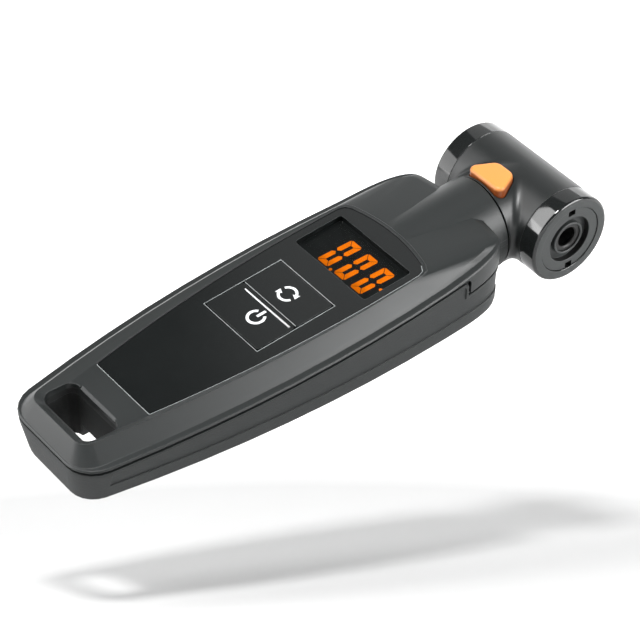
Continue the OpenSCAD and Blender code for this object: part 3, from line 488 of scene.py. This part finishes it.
def head_ring(height):
    half = math.sqrt(max(0.0, BARREL_R ** 2 - height ** 2))
    round_r = min(FILLET * half / (half + FILLET_EASE), STEM_SHARE * (-STEM_REAR - half))
    reach = half + round_r
    side = [(x, -half) for x in steps(STEM_REAR, -reach, STEM_STEPS)]
    for angle in steps(0, math.pi / 2, FILLET_STEPS):
        side.append((-reach + round_r * math.sin(angle), -reach + round_r * math.cos(angle)))
    side += [(-half, y) for y in steps(-reach, -SEAM, BARREL_STEPS)]
    side += [(x, -SEAM) for x in steps(-half, half, BARREL_STEPS)]
    side += [(half, y) for y in steps(-SEAM, -reach, BARREL_STEPS)]
    side += [(half, y) for y in steps(-reach, 0, FRONT_STEPS)]
    other = [(x, -y) for x, y in reversed(side[1:])]
    rear = [(STEM_REAR, y) for y in steps(half, -half, BARREL_STEPS)]
    return side + [(half, 0.0)] + other + rear


def hull_outline(discs, grow, count=120):
    points = []
    for k in range(count):
        ray = Vector((math.cos(2 * math.pi * k / count), math.sin(2 * math.pi * k / count)))
        spot, radius = max(discs, key=lambda disc: ray.dot(disc[0]) + disc[1])
        points.append(spot + ray * (radius + grow))
    return points


def loft(bm, rings):
    rows = [[bm.verts.new(point) for point in ring] for ring in rings]
    for low, high in zip(rows, rows[1:]):
        for k in range(len(low)):
            j = (k + 1) % len(low)
            bm.faces.new((low[k], low[j], high[j], high[k]))
    return rows


def capped(bm, rows):
    bm.faces.new(list(reversed(rows[0])))
    bm.faces.new(rows[-1])


skin = bmesh.new()
heights = [BARREL_R * math.sin(math.pi * (k / LEVELS - 0.5)) for k in range(LEVELS + 1)]
loft(skin, [[(x, y, z) for x, y in head_ring(z)] for z in heights])
bmesh.ops.remove_doubles(skin, verts=skin.verts, dist=MERGE)
bmesh.ops.dissolve_degenerate(skin, edges=skin.edges, dist=MERGE)
head_skin = make_piece("head_skin", skin, HEAD, "head", satin_head)

button_discs = []
for side in (-1, 1):
    button_discs.append((Vector((BUTTON_REAR + BUTTON_CORNER,
                                 side * (BUTTON_WIDTH / 2 - BUTTON_CORNER))), BUTTON_CORNER))
    button_discs.append((Vector((BUTTON_REAR + BUTTON_LENGTH - BUTTON_TIP,
                                 side * (BUTTON_NOSE / 2 - BUTTON_TIP))), BUTTON_TIP))
core = bmesh.new()
core_outline = hull_outline(button_discs, BUTTON_GAP)
capped(core, loft(core, [[(p.x, p.y, z) for p in core_outline]
                         for z in (POCKET_LOW, 2 * BARREL_R)]))
bmesh.ops.recalc_face_normals(core, faces=core.faces)
carve(head_skin, core, HEAD, 32)
stands_for("head_barrel")

# %% [markdown]
# ## The release button
# The button is a moulded cap with a flat top and an edge of about a millimetre, and it dips a
# little into its pocket when it is pressed. Its side wall is painted a far darker orange than its
# top, as painted shade.

# %% Button
# The wall's colour is painted shade; the face's colour is the button's own orange.
BUTTON_WALL_SHADE, BUTTON_FACE = (0.20, 0.045, 0.008, 1), (0.70, 0.255, 0.055, 1)
FACE_SPILL, BUTTON_GRAIN, BUTTON_GRAIN_DEPTH, RIM_STEPS = 0.1, 4000.0, 0.004, 6


def orange_plastic():
    material, principled, start = shader_start("orange_plastic")
    place = start.node("TexCoord", out=3)
    grain = noise(place, BUTTON_GRAIN, 2.0)
    # Painted shade: below the rounded rim the orange darkens to the wall's colour.
    rim_height = (AXIS_HEIGHT + BUTTON_TOP - BUTTON_ROUND) * MM
    level = start.node("SeparateXYZ", {0: place}, out=2) - rim_height
    unshaded_top = (level * (1 / (BUTTON_ROUND * MM)) + FACE_SPILL).clamped()
    shade = start.node("Mix", {0: unshaded_top, 6: BUTTON_WALL_SHADE, 7: BUTTON_FACE}, out=2, data_type="RGBA")
    skin = start.node("Bump", {"Strength": 1.0, "Distance": BUTTON_GRAIN_DEPTH * MM, "Height": grain})
    linked = {"Base Color": shade, "Normal": skin, "Roughness": 0.36 + grain * 0.08}
    return set_shader(material, principled, linked, {})


rim_angles = [math.pi / 2 * k / RIM_STEPS for k in range(RIM_STEPS + 1)]
button_steps = [(BUTTON_LOW, 0.0)]
button_steps += [(BUTTON_TOP - BUTTON_ROUND * (1 - math.sin(a)), -BUTTON_ROUND * (1 - math.cos(a)))
                 for a in rim_angles]
button = bmesh.new()
capped(button, loft(button, [[(p.x, p.y, z) for p in hull_outline(button_discs, grow)]
                             for z, grow in button_steps]))
button_cap = make_piece("button_cap", button, HEAD, "release", orange_plastic(), smooth=40)
stands_for("release_button")

# %% [markdown]
# ## The turned ends of the barrel
# Each end has a gloss black ring with a matt face. On the car side a disc is screwed into it: a
# collar round the valve hole, a deep groove outside the collar and two notches for a spanner. The
# rubber seal behind it shows as a narrow lip in the hole. The hole, the groove's outer wall, the
# notches and the seal are painted near-black, as painted shade. All of them are spun from a
# profile, and the notches are cut afterwards.

# %% End rings, disc and seal
END, RING_ROUND, RING_BORE, RING_BACK, RING_SEAT = 19.9, 0.8, 9.45, 16.75, 10.0
SEAM_GAP, SEAM_BREAK, EDGE_BREAK = 0.02, 0.14, 0.1


def spin(profile, side, count=96):
    form = bmesh.new()
    turns = [2 * math.pi * k / count for k in range(count)]
    rows = [[form.verts.new((radius * math.cos(a), side * out, radius * math.sin(a))) for a in turns]
            for radius, out, look in profile]
    for k, row in enumerate(rows):
        following = rows[(k + 1) % len(rows)]
        for j in range(count):
            i = (j + 1) % count
            face = form.faces.new((row[j], row[i], following[i], following[j]))
            face.material_index = profile[k][2]
    return form


ring_foot = SEAM + SEAM_GAP
ring_profile = [(RING_SEAT, ring_foot, 0), (BARREL_R - SEAM_BREAK, ring_foot, 0),
                (BARREL_R, ring_foot + SEAM_BREAK, 0)]
ring_profile += [(BARREL_R - RING_ROUND * (1 - math.cos(a)), END - RING_ROUND * (1 - math.sin(a)), 0)
                 for a in rim_angles[:-1]]
ring_profile += [(BARREL_R - RING_ROUND, END, 1), (RING_BORE + EDGE_BREAK, END, 0),
                 (RING_BORE, END - EDGE_BREAK, 0), (RING_BORE, RING_BACK, 0),
                 (RING_SEAT, RING_BACK, 0)]
for name, side, node in (("car_end_ring", -1, "schrader_cap"), ("cycle_end_ring", 1, "presta_cap")):
    ring = make_piece(name, spin(ring_profile, side), HEAD, "head", [cap_black, insert_black], smooth=25)
    stands_for(node)

FACE, DISC_R, GROOVE_R, COLLAR_R, HOLE_R = 19.65, 9.4, 6.6, 4.7, 4.05
GROOVE_FLOOR, COLLAR_TOP, DISC_BACK, BOSS_BACK, BOSS_R = 17.95, 19.25, 16.72, 15.4, 8.2
DISC_BREAK, COLLAR_BREAK, HOLE_BREAK = 0.12, 0.15, 0.2
NOTCH_X, NOTCH_OUT, NOTCH_SIZE = 0.2, 8.7, (2.2, 2.6, 2.2)
disc_profile = [(DISC_R, DISC_BACK, 1), (DISC_R, FACE - DISC_BREAK, 0), (DISC_R - DISC_BREAK, FACE, 0),
                (GROOVE_R + EDGE_BREAK, FACE, 0), (GROOVE_R, FACE - EDGE_BREAK, 1),
                (GROOVE_R, GROOVE_FLOOR, 0), (COLLAR_R, GROOVE_FLOOR, 0),
                (COLLAR_R, COLLAR_TOP - COLLAR_BREAK, 0), (COLLAR_R - COLLAR_BREAK, COLLAR_TOP, 0),
                (HOLE_R + HOLE_BREAK, COLLAR_TOP, 0), (HOLE_R, COLLAR_TOP - HOLE_BREAK, 1),
                (HOLE_R, BOSS_BACK, 1), (BOSS_R, BOSS_BACK, 1), (BOSS_R, DISC_BACK, 1)]
disc = make_piece("valve_disc", spin(disc_profile, -1), HEAD, "head", [insert_black, bore_shade_black])
notches = bmesh.new()
for side in (-1, 1):
    spot = Matrix.Translation((NOTCH_X, -FACE, side * NOTCH_OUT))
    bmesh.ops.create_cube(notches, size=1.0, matrix=spot @ Matrix.Diagonal((*NOTCH_SIZE, 1)))
for face in notches.faces:
    face.material_index = 1
carve(disc, notches, HEAD, 25)
stands_for("schrader_insert")

SEAL_OUT, SEAL_LIP, SEAL_BORE, SEAL_BACK, SEAL_FACE = 8.2, 2.8, 4.79, 10.4, 18.75
SEAL_GAP, SEAL_FOOT, SEAL_TAPER = 0.03, BOSS_BACK - 0.02, 1.0
LIP_BREAK, LIP_THICK = 0.3, 0.8
seal_neck, seal_throat = HOLE_R - SEAL_GAP, SEAL_LIP + LIP_THICK
seal_profile = [(SEAL_OUT, SEAL_BACK, 0), (SEAL_OUT, SEAL_FOOT, 0), (seal_neck, SEAL_FOOT, 0),
                (seal_neck, SEAL_FACE, 0), (SEAL_LIP + LIP_BREAK, SEAL_FACE, 0),
                (SEAL_LIP, SEAL_FACE - LIP_BREAK, 0), (SEAL_LIP, SEAL_FACE - LIP_THICK, 0),
                (seal_throat, SEAL_FACE - 2 * LIP_THICK, 0), (seal_throat, BOSS_BACK - SEAL_TAPER, 0),
                (SEAL_BORE, BOSS_BACK - 2 * SEAL_TAPER, 0), (SEAL_BORE, SEAL_BACK, 0)]
seal = make_piece("valve_seal", spin(seal_profile, -1, 64), HEAD, "head", bore_shade_black, smooth=25)
stands_for("schrader_seal")

# %% [markdown]
# ## The sides of the neck
# The solids leave the neck open at both sides, between the lip of the upper shell and the band of
# the lower one. The real neck is closed there, so a curved plate of the lower shell's plastic fills
# each opening, a hair below the neck's own surface and along its tilt.

# %% Neck sides
NECK_FRONT, NECK_LENGTH, NECK_R, NECK_WALL = 52.93, 6.5, 12.46, 1.8
NECK_LOW, NECK_HIGH, NECK_FACETS = math.radians(-33), math.radians(13), 16
neck_arc = [NECK_LOW + (NECK_HIGH - NECK_LOW) * k / NECK_FACETS for k in range(NECK_FACETS + 1)]
neck_section = [(NECK_R * math.cos(a), NECK_R * math.sin(a)) for a in neck_arc]
neck_section += [((NECK_R - NECK_WALL) * math.cos(a), (NECK_R - NECK_WALL) * math.sin(a))
                 for a in reversed(neck_arc)]
neck = bmesh.new()
for side in (-1, 1):
    rings = []
    for back in (NECK_LENGTH, 0):
        axis = AXIS_HEIGHT - back * math.tan(DECK_TILT)
        rings.append([(NECK_FRONT - back, side * y, axis + z) for y, z in neck_section])
    capped(neck, loft(neck, rings))
neck_sides = make_piece("neck_sides", neck, Matrix.Scale(MM, 4), "housing", grained_shell, smooth=35)

# %% [markdown]
# ## The display
# Behind a thin clear lens lies a dark glass whose digits let an amber light through. The digits are
# real shapes on the glass, six fat bars each with mitred corners and a slight lean, so that they
# sit a little below the panel's face as in the real window. Glass and lens come first.

# %% Display glass and lens
WINDOW_LOW, WINDOW_HIGH, WINDOW_CORNER = (84.95, -13.85), (99.45, 13.85), 0.8
LENS_STEPS = [(-0.55, 0.0), (-0.12, 0.0), (-0.03, 0.06), (0.0, 0.15)]


def dark_glass():
    material, principled, start = shader_start("dark_glass")
    haze = noise(start.node("TexCoord", out=3), 220.0, 2.0)
    shade = tinted((0.004, 0.005, 0.005), 0.8 + haze * 0.4)
    return set_shader(material, principled, {"Base Color": shade, "Roughness": 0.32 + haze * 0.06},
                      {"Specular IOR Level": 0.10})


def clear_lens():
    material, principled, start = shader_start("clear_lens")
    haze = noise(start.node("TexCoord", out=3), 160.0, 2.0)
    return set_shader(material, principled,
                      {"Alpha": 0.03 + haze * 0.02, "Roughness": 0.05 + haze * 0.03},
                      {"Base Color": (0.005, 0.005, 0.005, 1), "Specular IOR Level": 0.30})


dress(["lcd_glass"], dark_glass())
lens = bmesh.new()
lift(lens, rounded_outline(oblong(WINDOW_LOW, WINDOW_HIGH), WINDOW_CORNER), LENS_STEPS)
window_lens = make_piece("window_lens", lens, DECK, "housing", clear_lens(), smooth=35)
stands_for("display_lens")

# %% [markdown]
# ## The digits
# Three noughts are enough to show what the display does. Each is drawn upright from the bars of one
# quarter and its mirror images, then leaned and laid along the window. Toward the window's tail
# edge the glow is painted dimmer, as painted shade from that edge, and it rises with the station.

# %% Digits and points
WINDOW_SHADE_END, WINDOW_SHADE_FADE = 6.0 * MM, 3.5 * MM
AMBER, AMBER_IN_SHADE, AMBER_RISE, AMBER_SPREAD = (1.0, 0.215, 0.004), 0.35, 0.5, 0.3
GLASS_FACE, DIGIT_THICK = -1.6, 0.04
DIGITS, DIGIT_LOW, DIGIT_HEIGHT, DIGIT_WIDTH = 3, 86.15, 10.85, 4.3
DIGIT_PITCH, DIGIT_LEFT = 6.55, 6.95
BAR, BAR_GAP, BAR_CUT, BAR_MITRE, LEAN = 1.65, 0.09, 0.6, 0.15, 0.06
POINTS, POINT_R, POINT_FACETS = ((86.3, 1.45), (91.1, -12.4)), 0.45, 20


def amber_light():
    material, principled, start = shader_start("amber_light")
    place = start.node("TexCoord", out=3)
    spread = noise(place, 500.0, 1.0)
    station = start.node("SeparateXYZ", {0: place}, out=0)
    # Painted shade: the glow is dimmer at low stations, near the window's tail edge.
    rise = ((station - WINDOW_SHADE_END) * (1 / WINDOW_SHADE_FADE)).clamped()
    glow = tinted(AMBER, AMBER_IN_SHADE + rise * AMBER_RISE + spread * AMBER_SPREAD)
    return set_shader(material, principled, {"Emission Color": glow},
                      {"Base Color": (0.05, 0.01, 0.0, 1), "Emission Strength": 0.95,
                       "Roughness": 0.5, "Specular IOR Level": 0.0})


def lit(inset):
    return [(GLASS_FACE, inset), (GLASS_FACE + DIGIT_THICK, inset)]


def zero_bars():
    wide, tall, mid = DIGIT_WIDTH, DIGIT_HEIGHT, DIGIT_HEIGHT / 2
    joint = (BAR_CUT / 2, tall - BAR_CUT / 2)
    crown = [joint, (BAR_CUT, tall), (wide - BAR_CUT, tall), (wide - joint[0], joint[1]),
             (wide - BAR, tall - BAR), (BAR, tall - BAR)]
    flank = [joint, (BAR, tall - BAR), (BAR, mid + BAR / 2), (BAR / 2, mid + BAR_MITRE),
             (0, mid + BAR / 2), (0, tall - BAR_CUT)]
    bars = []
    for shape in (crown, flank, [(wide - x, y) for x, y in flank]):
        bars += [shape, [(x, tall - y) for x, y in shape]]
    return bars


amber = amber_light()
digits = bmesh.new()
for number in range(DIGITS):
    left = DIGIT_LEFT - DIGIT_PITCH * number
    for bar in zero_bars():
        lift(digits, [Vector((DIGIT_LOW + y, left - x - LEAN * y)) for x, y in bar], lit(BAR_GAP))
display_digits = make_piece("display_digits", digits, DECK, "housing", amber)
points = bmesh.new()
for station, across in POINTS:
    turns = [2 * math.pi * k / POINT_FACETS for k in range(POINT_FACETS)]
    lift(points, [Vector((station + POINT_R * math.cos(a), across + POINT_R * math.sin(a)))
                  for a in turns], lit(0.0))
display_point = make_piece("display_point", points, DECK, "housing", amber)

# %% [markdown]
# ## What is printed on the keys
# The keys carry a thin white print: the usual power sign on one and a pair of turning arrows on the
# other, and a fine pale rib beside the line between them. Print is a real layer some hundredths of
# a millimetre thick, so it is lifted off the key as geometry and gets its own slightly uneven white.

# %% White print on the keys
KEY_FACE, PRINT_HEIGHT = 0.15, 0.03
PRINT = [(KEY_FACE, 0.0), (KEY_FACE + PRINT_HEIGHT, 0.0)]
POWER_MID, POWER_R, POWER_LINE, POWER_START, POWER_SWEEP = Vector((61.3, -1.35)), 2.15, 0.75, 127, 286
POWER_BAR = Vector((0.3, -0.38)), Vector((3.0, 0.38))
MODE_MID, MODE_R, MODE_LINE, MODE_START, MODE_SWEEP = Vector((72.0, 0.0)), 2.3, 0.7, 20, 125
TIP_HALF, TIP_LENGTH = 0.95, 1.425
RIB_LOW, RIB_HIGH, RIB_ROUND = (65.0, -9.9), (65.4, 8.5), 0.2
RIB_STEPS = [(KEY_FACE, 0.0), (KEY_FACE + 0.1, 0.02), (KEY_FACE + 0.17, 0.1)]


def white_print():
    material, principled, start = shader_start("white_print")
    ink = noise(start.node("TexCoord", out=3), 2600.0, 2.0)
    shade = tinted((0.80, 0.81, 0.82), 0.88 + ink * 0.2)
    return set_shader(material, principled, {"Base Color": shade, "Roughness": 0.45 + ink * 0.1}, {})


def arc_band(bm, centre, radius, width, start, sweep, count=36):
    outer, inner = [], []
    for k in range(count + 1):
        angle = math.radians(start + sweep * k / count)
        ray = Vector((math.sin(angle), math.cos(angle)))
        outer.append(centre + ray * (radius + width / 2))
        inner.append(centre + ray * (radius - width / 2))
    for k in range(count):
        lift(bm, [outer[k], outer[k + 1], inner[k + 1], inner[k]], PRINT)


def arrow_tip(bm, centre, radius, angle):
    angle = math.radians(angle)
    ray = Vector((math.sin(angle), math.cos(angle)))
    along = Vector((math.cos(angle), -math.sin(angle)))
    middle = centre + ray * radius
    lift(bm, [middle - ray * TIP_HALF, middle + ray * TIP_HALF, middle + along * TIP_LENGTH], PRINT)


white = white_print()
power_form = bmesh.new()
arc_band(power_form, POWER_MID, POWER_R, POWER_LINE, POWER_START, POWER_SWEEP)
lift(power_form, oblong(*(POWER_MID + corner for corner in POWER_BAR)), PRINT)
power_sign = make_piece("power_sign", power_form, DECK, "power", white)
mode_form = bmesh.new()
for turn in (0, 180):
    arc_band(mode_form, MODE_MID, MODE_R, MODE_LINE, turn + MODE_START, MODE_SWEEP)
    arrow_tip(mode_form, MODE_MID, MODE_R, turn + MODE_START + MODE_SWEEP)
mode_sign = make_piece("mode_sign", mode_form, DECK, "mode", white)
rib = bmesh.new()
lift(rib, rounded_outline(oblong(RIB_LOW, RIB_HIGH), RIB_ROUND, 4), RIB_STEPS)
key_rib = make_piece("key_rib", rib, DECK, "power", white, smooth=60)

# %% [markdown]
# ## Painted highlights on the panel's edges
# The panel is a clear plate that is printed black behind. Its edges catch light as fine pale lines
# along the near side, along the tail and round the keys, and these lines are painted highlights:
# pale strips laid on the edges. Toward the head and the far side one looks into the dark gap behind
# the plate instead, and a black strip in that gap is painted shade. The plate's outline is read
# from the solid's top face, so both follow it exactly.

# %% Plate edge highlights and gap shade
FLAT_TOP, TOP_BAND, WELD_LOOP = 0.99, 0.05, 0.005
NEAR_TURN, FAR_TURN = 0.5, 0.3
HIGHLIGHT_LINE = (0.08, 0.25), (-0.02, 0.07)
GAP_SHADE_LINE = (-0.09, -0.01), (-0.2, 0.27)
FRAME_HIGHLIGHT_LINE = (0.03, 0.17), (-0.02, 0.05)
KEYS_MID, KEY_LINE_LOW, KEY_LINE_HIGH = 66.4, (66.6, -10.2), (66.74, 10.2)


def top_loops(node):
    form = bmesh.new()
    form.from_mesh(nodes[node].data)
    form.transform(DECK.inverted())
    bmesh.ops.remove_doubles(form, verts=form.verts, dist=WELD_LOOP)
    top = {face for face in form.faces
           if face.normal.z > FLAT_TOP and abs(face.calc_center_median().z) < TOP_BAND}
    follows = {}
    for edge in form.edges:
        inside = [loop for loop in edge.link_loops if loop.face in top]
        if len(inside) == 1:
            follows[inside[0].vert] = inside[0].link_loop_next.vert
    loops = []
    while follows:
        spot = next(iter(follows))
        loop = []
        while spot in follows:
            loop.append(Vector(spot.co.xy))
            spot = follows.pop(spot)
        loops.append(loop)
    form.free()
    return sorted(loops, key=lambda loop: -sum((a - b).length for a, b in zip(loop, loop[1:])))


def runs(loop, wanted):
    kept = []
    for k in range(len(loop)):
        one, two = loop[k], loop[(k + 1) % len(loop)]
        away = Vector((two.y - one.y, one.x - two.x)).normalized()
        kept.append(wanted(away))
    first = kept.index(False)
    found, path = [], []
    for k in range(first, first + len(loop) + 1):
        if kept[k % len(loop)]:
            if not path:
                path = [loop[k % len(loop)]]
            path.append(loop[(k + 1) % len(loop)])
        elif path:
            found.append(path)
            path = []
    return found


# Painted highlight: pale grey, broken up by a noise, for the light lines that the plate's edges and the
# keys' edges catch.
def painted_edge_highlight():
    material, principled, start = shader_start("painted_edge_highlight")
    highlight_breaks = noise(start.node("TexCoord", out=3), 700.0, 3.0)
    shade = tinted((0.30, 0.32, 0.32), 0.4 + highlight_breaks * 1.2)
    return set_shader(material, principled, {"Base Color": shade, "Roughness": 0.25 + highlight_breaks * 0.2}, {})


edge_highlight = painted_edge_highlight()
plate_loops = top_loops("face_panel")
print("plate outlines with", [len(loop) for loop in plate_loops], "points")
highlight_form = bmesh.new()
for path in runs(plate_loops[0], lambda away: away.y < -NEAR_TURN or away.x < -NEAR_TURN):
    ribbon(highlight_form, path, *HIGHLIGHT_LINE)
plate_edge_highlight = make_piece("plate_edge_highlight", highlight_form, DECK, "housing", edge_highlight)
gap_shade_form = bmesh.new()
# Painted shade: a black strip stands in the gap behind the plate, where only shade is seen.
for path in runs(plate_loops[0], lambda away: away.y > FAR_TURN or away.x > FAR_TURN):
    ribbon(gap_shade_form, path, *GAP_SHADE_LINE)
plate_gap_shade = make_piece("plate_gap_shade", gap_shade_form, DECK, "housing", rubber_black)
key_loop = min(plate_loops[1:], key=lambda loop: abs(sum(p.x for p in loop) / len(loop) - KEYS_MID))
frame_highlight_form = bmesh.new()
ribbon(frame_highlight_form, key_loop, *FRAME_HIGHLIGHT_LINE, closed=True)
key_frame_highlight = make_piece("key_frame_highlight", frame_highlight_form, DECK, "housing", edge_highlight)
line_form = bmesh.new()
lift(line_form, oblong(KEY_LINE_LOW, KEY_LINE_HIGH), PRINT)
key_gap_highlight = make_piece("key_gap_highlight", line_form, DECK, "mode", edge_highlight)

# %% [markdown]
# ## The floor
# The gauge hovers at a slant over a white sweep. Everything here is in the gauge's own frame, so it
# is the sweep that slopes: the camera sees it at five degrees only, which flattens the shadow to
# the long bar below the gauge. The paint is a little brightened where it is looked at, more so away
# from the shadow, and the sheet shows its upper side only, so that the back can be looked at too.

# %% Floor
FLOOR_DROP, FLOOR_WHITE = 60, (0.63, 0.63, 0.63, 1)
FLOOR_GLANCE = math.radians(5)
FLOOR_NEAR, FLOOR_BEND, FLOOR_HALF, SWEEP_R, SWEEP_TOP, SWEEP_STEPS = -0.6, 0.45, 3.0, 0.2, 1.0, 10
GLOW_START, GLOW_REACH = 0.16, 0.22
floor_up = UPWARD.normalized() * math.cos(FLOOR_GLANCE) - FORWARD * math.sin(FLOOR_GLANCE)
sweep = [(FLOOR_NEAR, 0.0)]
sweep += [(FLOOR_BEND + SWEEP_R * math.sin(a), SWEEP_R * (1 - math.cos(a)))
          for a in [math.pi / 2 * k / SWEEP_STEPS for k in range(SWEEP_STEPS + 1)]]
sweep += [(FLOOR_BEND + SWEEP_R, SWEEP_TOP)]
floor_form = bmesh.new()
rows = [[floor_form.verts.new((side * FLOOR_HALF, out, rise)) for side in (-1, 1)]
        for out, rise in sweep]
for one, two in zip(rows, rows[1:]):
    floor_form.faces.new((one[0], one[1], two[1], two[0])).smooth = True
floor_mesh = bpy.data.meshes.new("floor")
floor_form.to_mesh(floor_mesh)
floor_form.free()
floor = bpy.data.objects.new("floor", floor_mesh)
bpy.context.scene.collection.objects.link(floor)
floor.matrix_world = (Matrix.Translation(floor_up * -FLOOR_DROP * MM)
                      @ Matrix((RIGHT, floor_up.cross(RIGHT), floor_up)).transposed().to_4x4())

floor_paint, floor_shader, floor_start = shader_start("floor_paint")
direct = floor_start.node("LightPath", out=0)
glossy = floor_start.node("LightPath", out=3)
through = floor_start.node("LightPath", out=6)
spot = floor_start.node("TexCoord", out=3)
away = floor_start.node("VectorMath", {0: spot}, out=1, operation="LENGTH")
far = ((away - GLOW_START) * (1 / GLOW_REACH)).clamped()
set_shader(floor_paint, floor_shader, {"Emission Color": (direct + glossy + through).clamped() * far},
           {"Base Color": FLOOR_WHITE, "Roughness": 0.9, "Specular IOR Level": 0.0,
            "Emission Strength": 1.0})
one_sided = floor_start.node("MixShader", {0: floor_start.node("NewGeometry", out=6),
                                           1: Value(floor_paint.node_tree, floor_shader.outputs[0]),
                                           2: floor_start.node("BsdfTransparent")})
floor_output = floor_paint.node_tree.nodes["Material Output"]
floor_paint.node_tree.links.new(one_sided.socket, floor_output.inputs["Surface"])
floor_mesh.materials.append(floor_paint)
print("floor", FLOOR_DROP, "mm below the back")

# %% [markdown]
# ## Lamps and room
# One small lamp overhead throws the shadow. Larger softboxes give the caps their bright bands, the
# tail and the near bevel their sheen and the panel its gradient. The room is palest at the horizon
# and darker overhead, which keeps the panel black.

# %% Softboxes and sky
AIM = Vector((0.02, 0, 0.015))
# name, place, direction of the long side, size in metres, power in watts
LAMPS = [("cap_softbox", (-0.547, 0.396, 0.622), (0.73, 0, 0.68), (1.15, 0.30), 6.5),
         ("tail_softbox", (-0.61, 0.63, 0.20), (0.7, 0.7, 0), (0.60, 0.60), 3.4),
         ("side_softbox", (0.42, -0.52, 0.33), (0.8, 0.6, 0), (0.50, 0.35), 6.4),
         ("head_softbox", (0.51, 0.336, 0.386), (0.6, -0.8, 0), (0.58, 0.58), 0.65),
         ("top_softbox", (-0.137, 0.023, 1.19), (1, 0, 0), (0.20, 0.20), 12.0)]
ROOM_LIGHT = 0.55
SKY = [(0.0, (0.7, 0.7, 0.7, 1)), (0.49, (0.9, 0.9, 0.9, 1)), (0.54, (0.8, 0.8, 0.8, 1)),
       (0.66, (0.22, 0.23, 0.23, 1)), (1.0, (0.20, 0.21, 0.21, 1))]


def softbox(name, place, along, size, power):
    lamp = bpy.data.lights.new(name, "AREA")
    lamp.shape = "RECTANGLE"
    lamp.size, lamp.size_y = size
    lamp.energy = power
    made = bpy.data.objects.new(name, lamp)
    bpy.context.scene.collection.objects.link(made)
    back = (Vector(place) - AIM).normalized()
    across = back.cross(Vector(along)).normalized()
    turn = Matrix((across.cross(back), across, back)).transposed()
    made.matrix_world = Matrix.Translation(place) @ turn.to_4x4()


for lamp_values in LAMPS:
    softbox(*lamp_values)
room = bpy.data.worlds.new("room")
room.use_nodes = True
bpy.context.scene.world = room
sky = Value(room.node_tree)
height = sky.node("SeparateXYZ", {0: sky.node("TexCoord", out=0)}, out=2)
tone = sky.node("ValToRGB", {0: height * 0.5 + 0.5}, stops=SKY)
background = room.node_tree.nodes["Background"]
room.node_tree.links.new(tone.socket, background.inputs["Color"])
background.inputs["Strength"].default_value = ROOM_LIGHT
bpy.context.scene.view_settings.view_transform = "Standard"
print(len(LAMPS), "softboxes and the room")
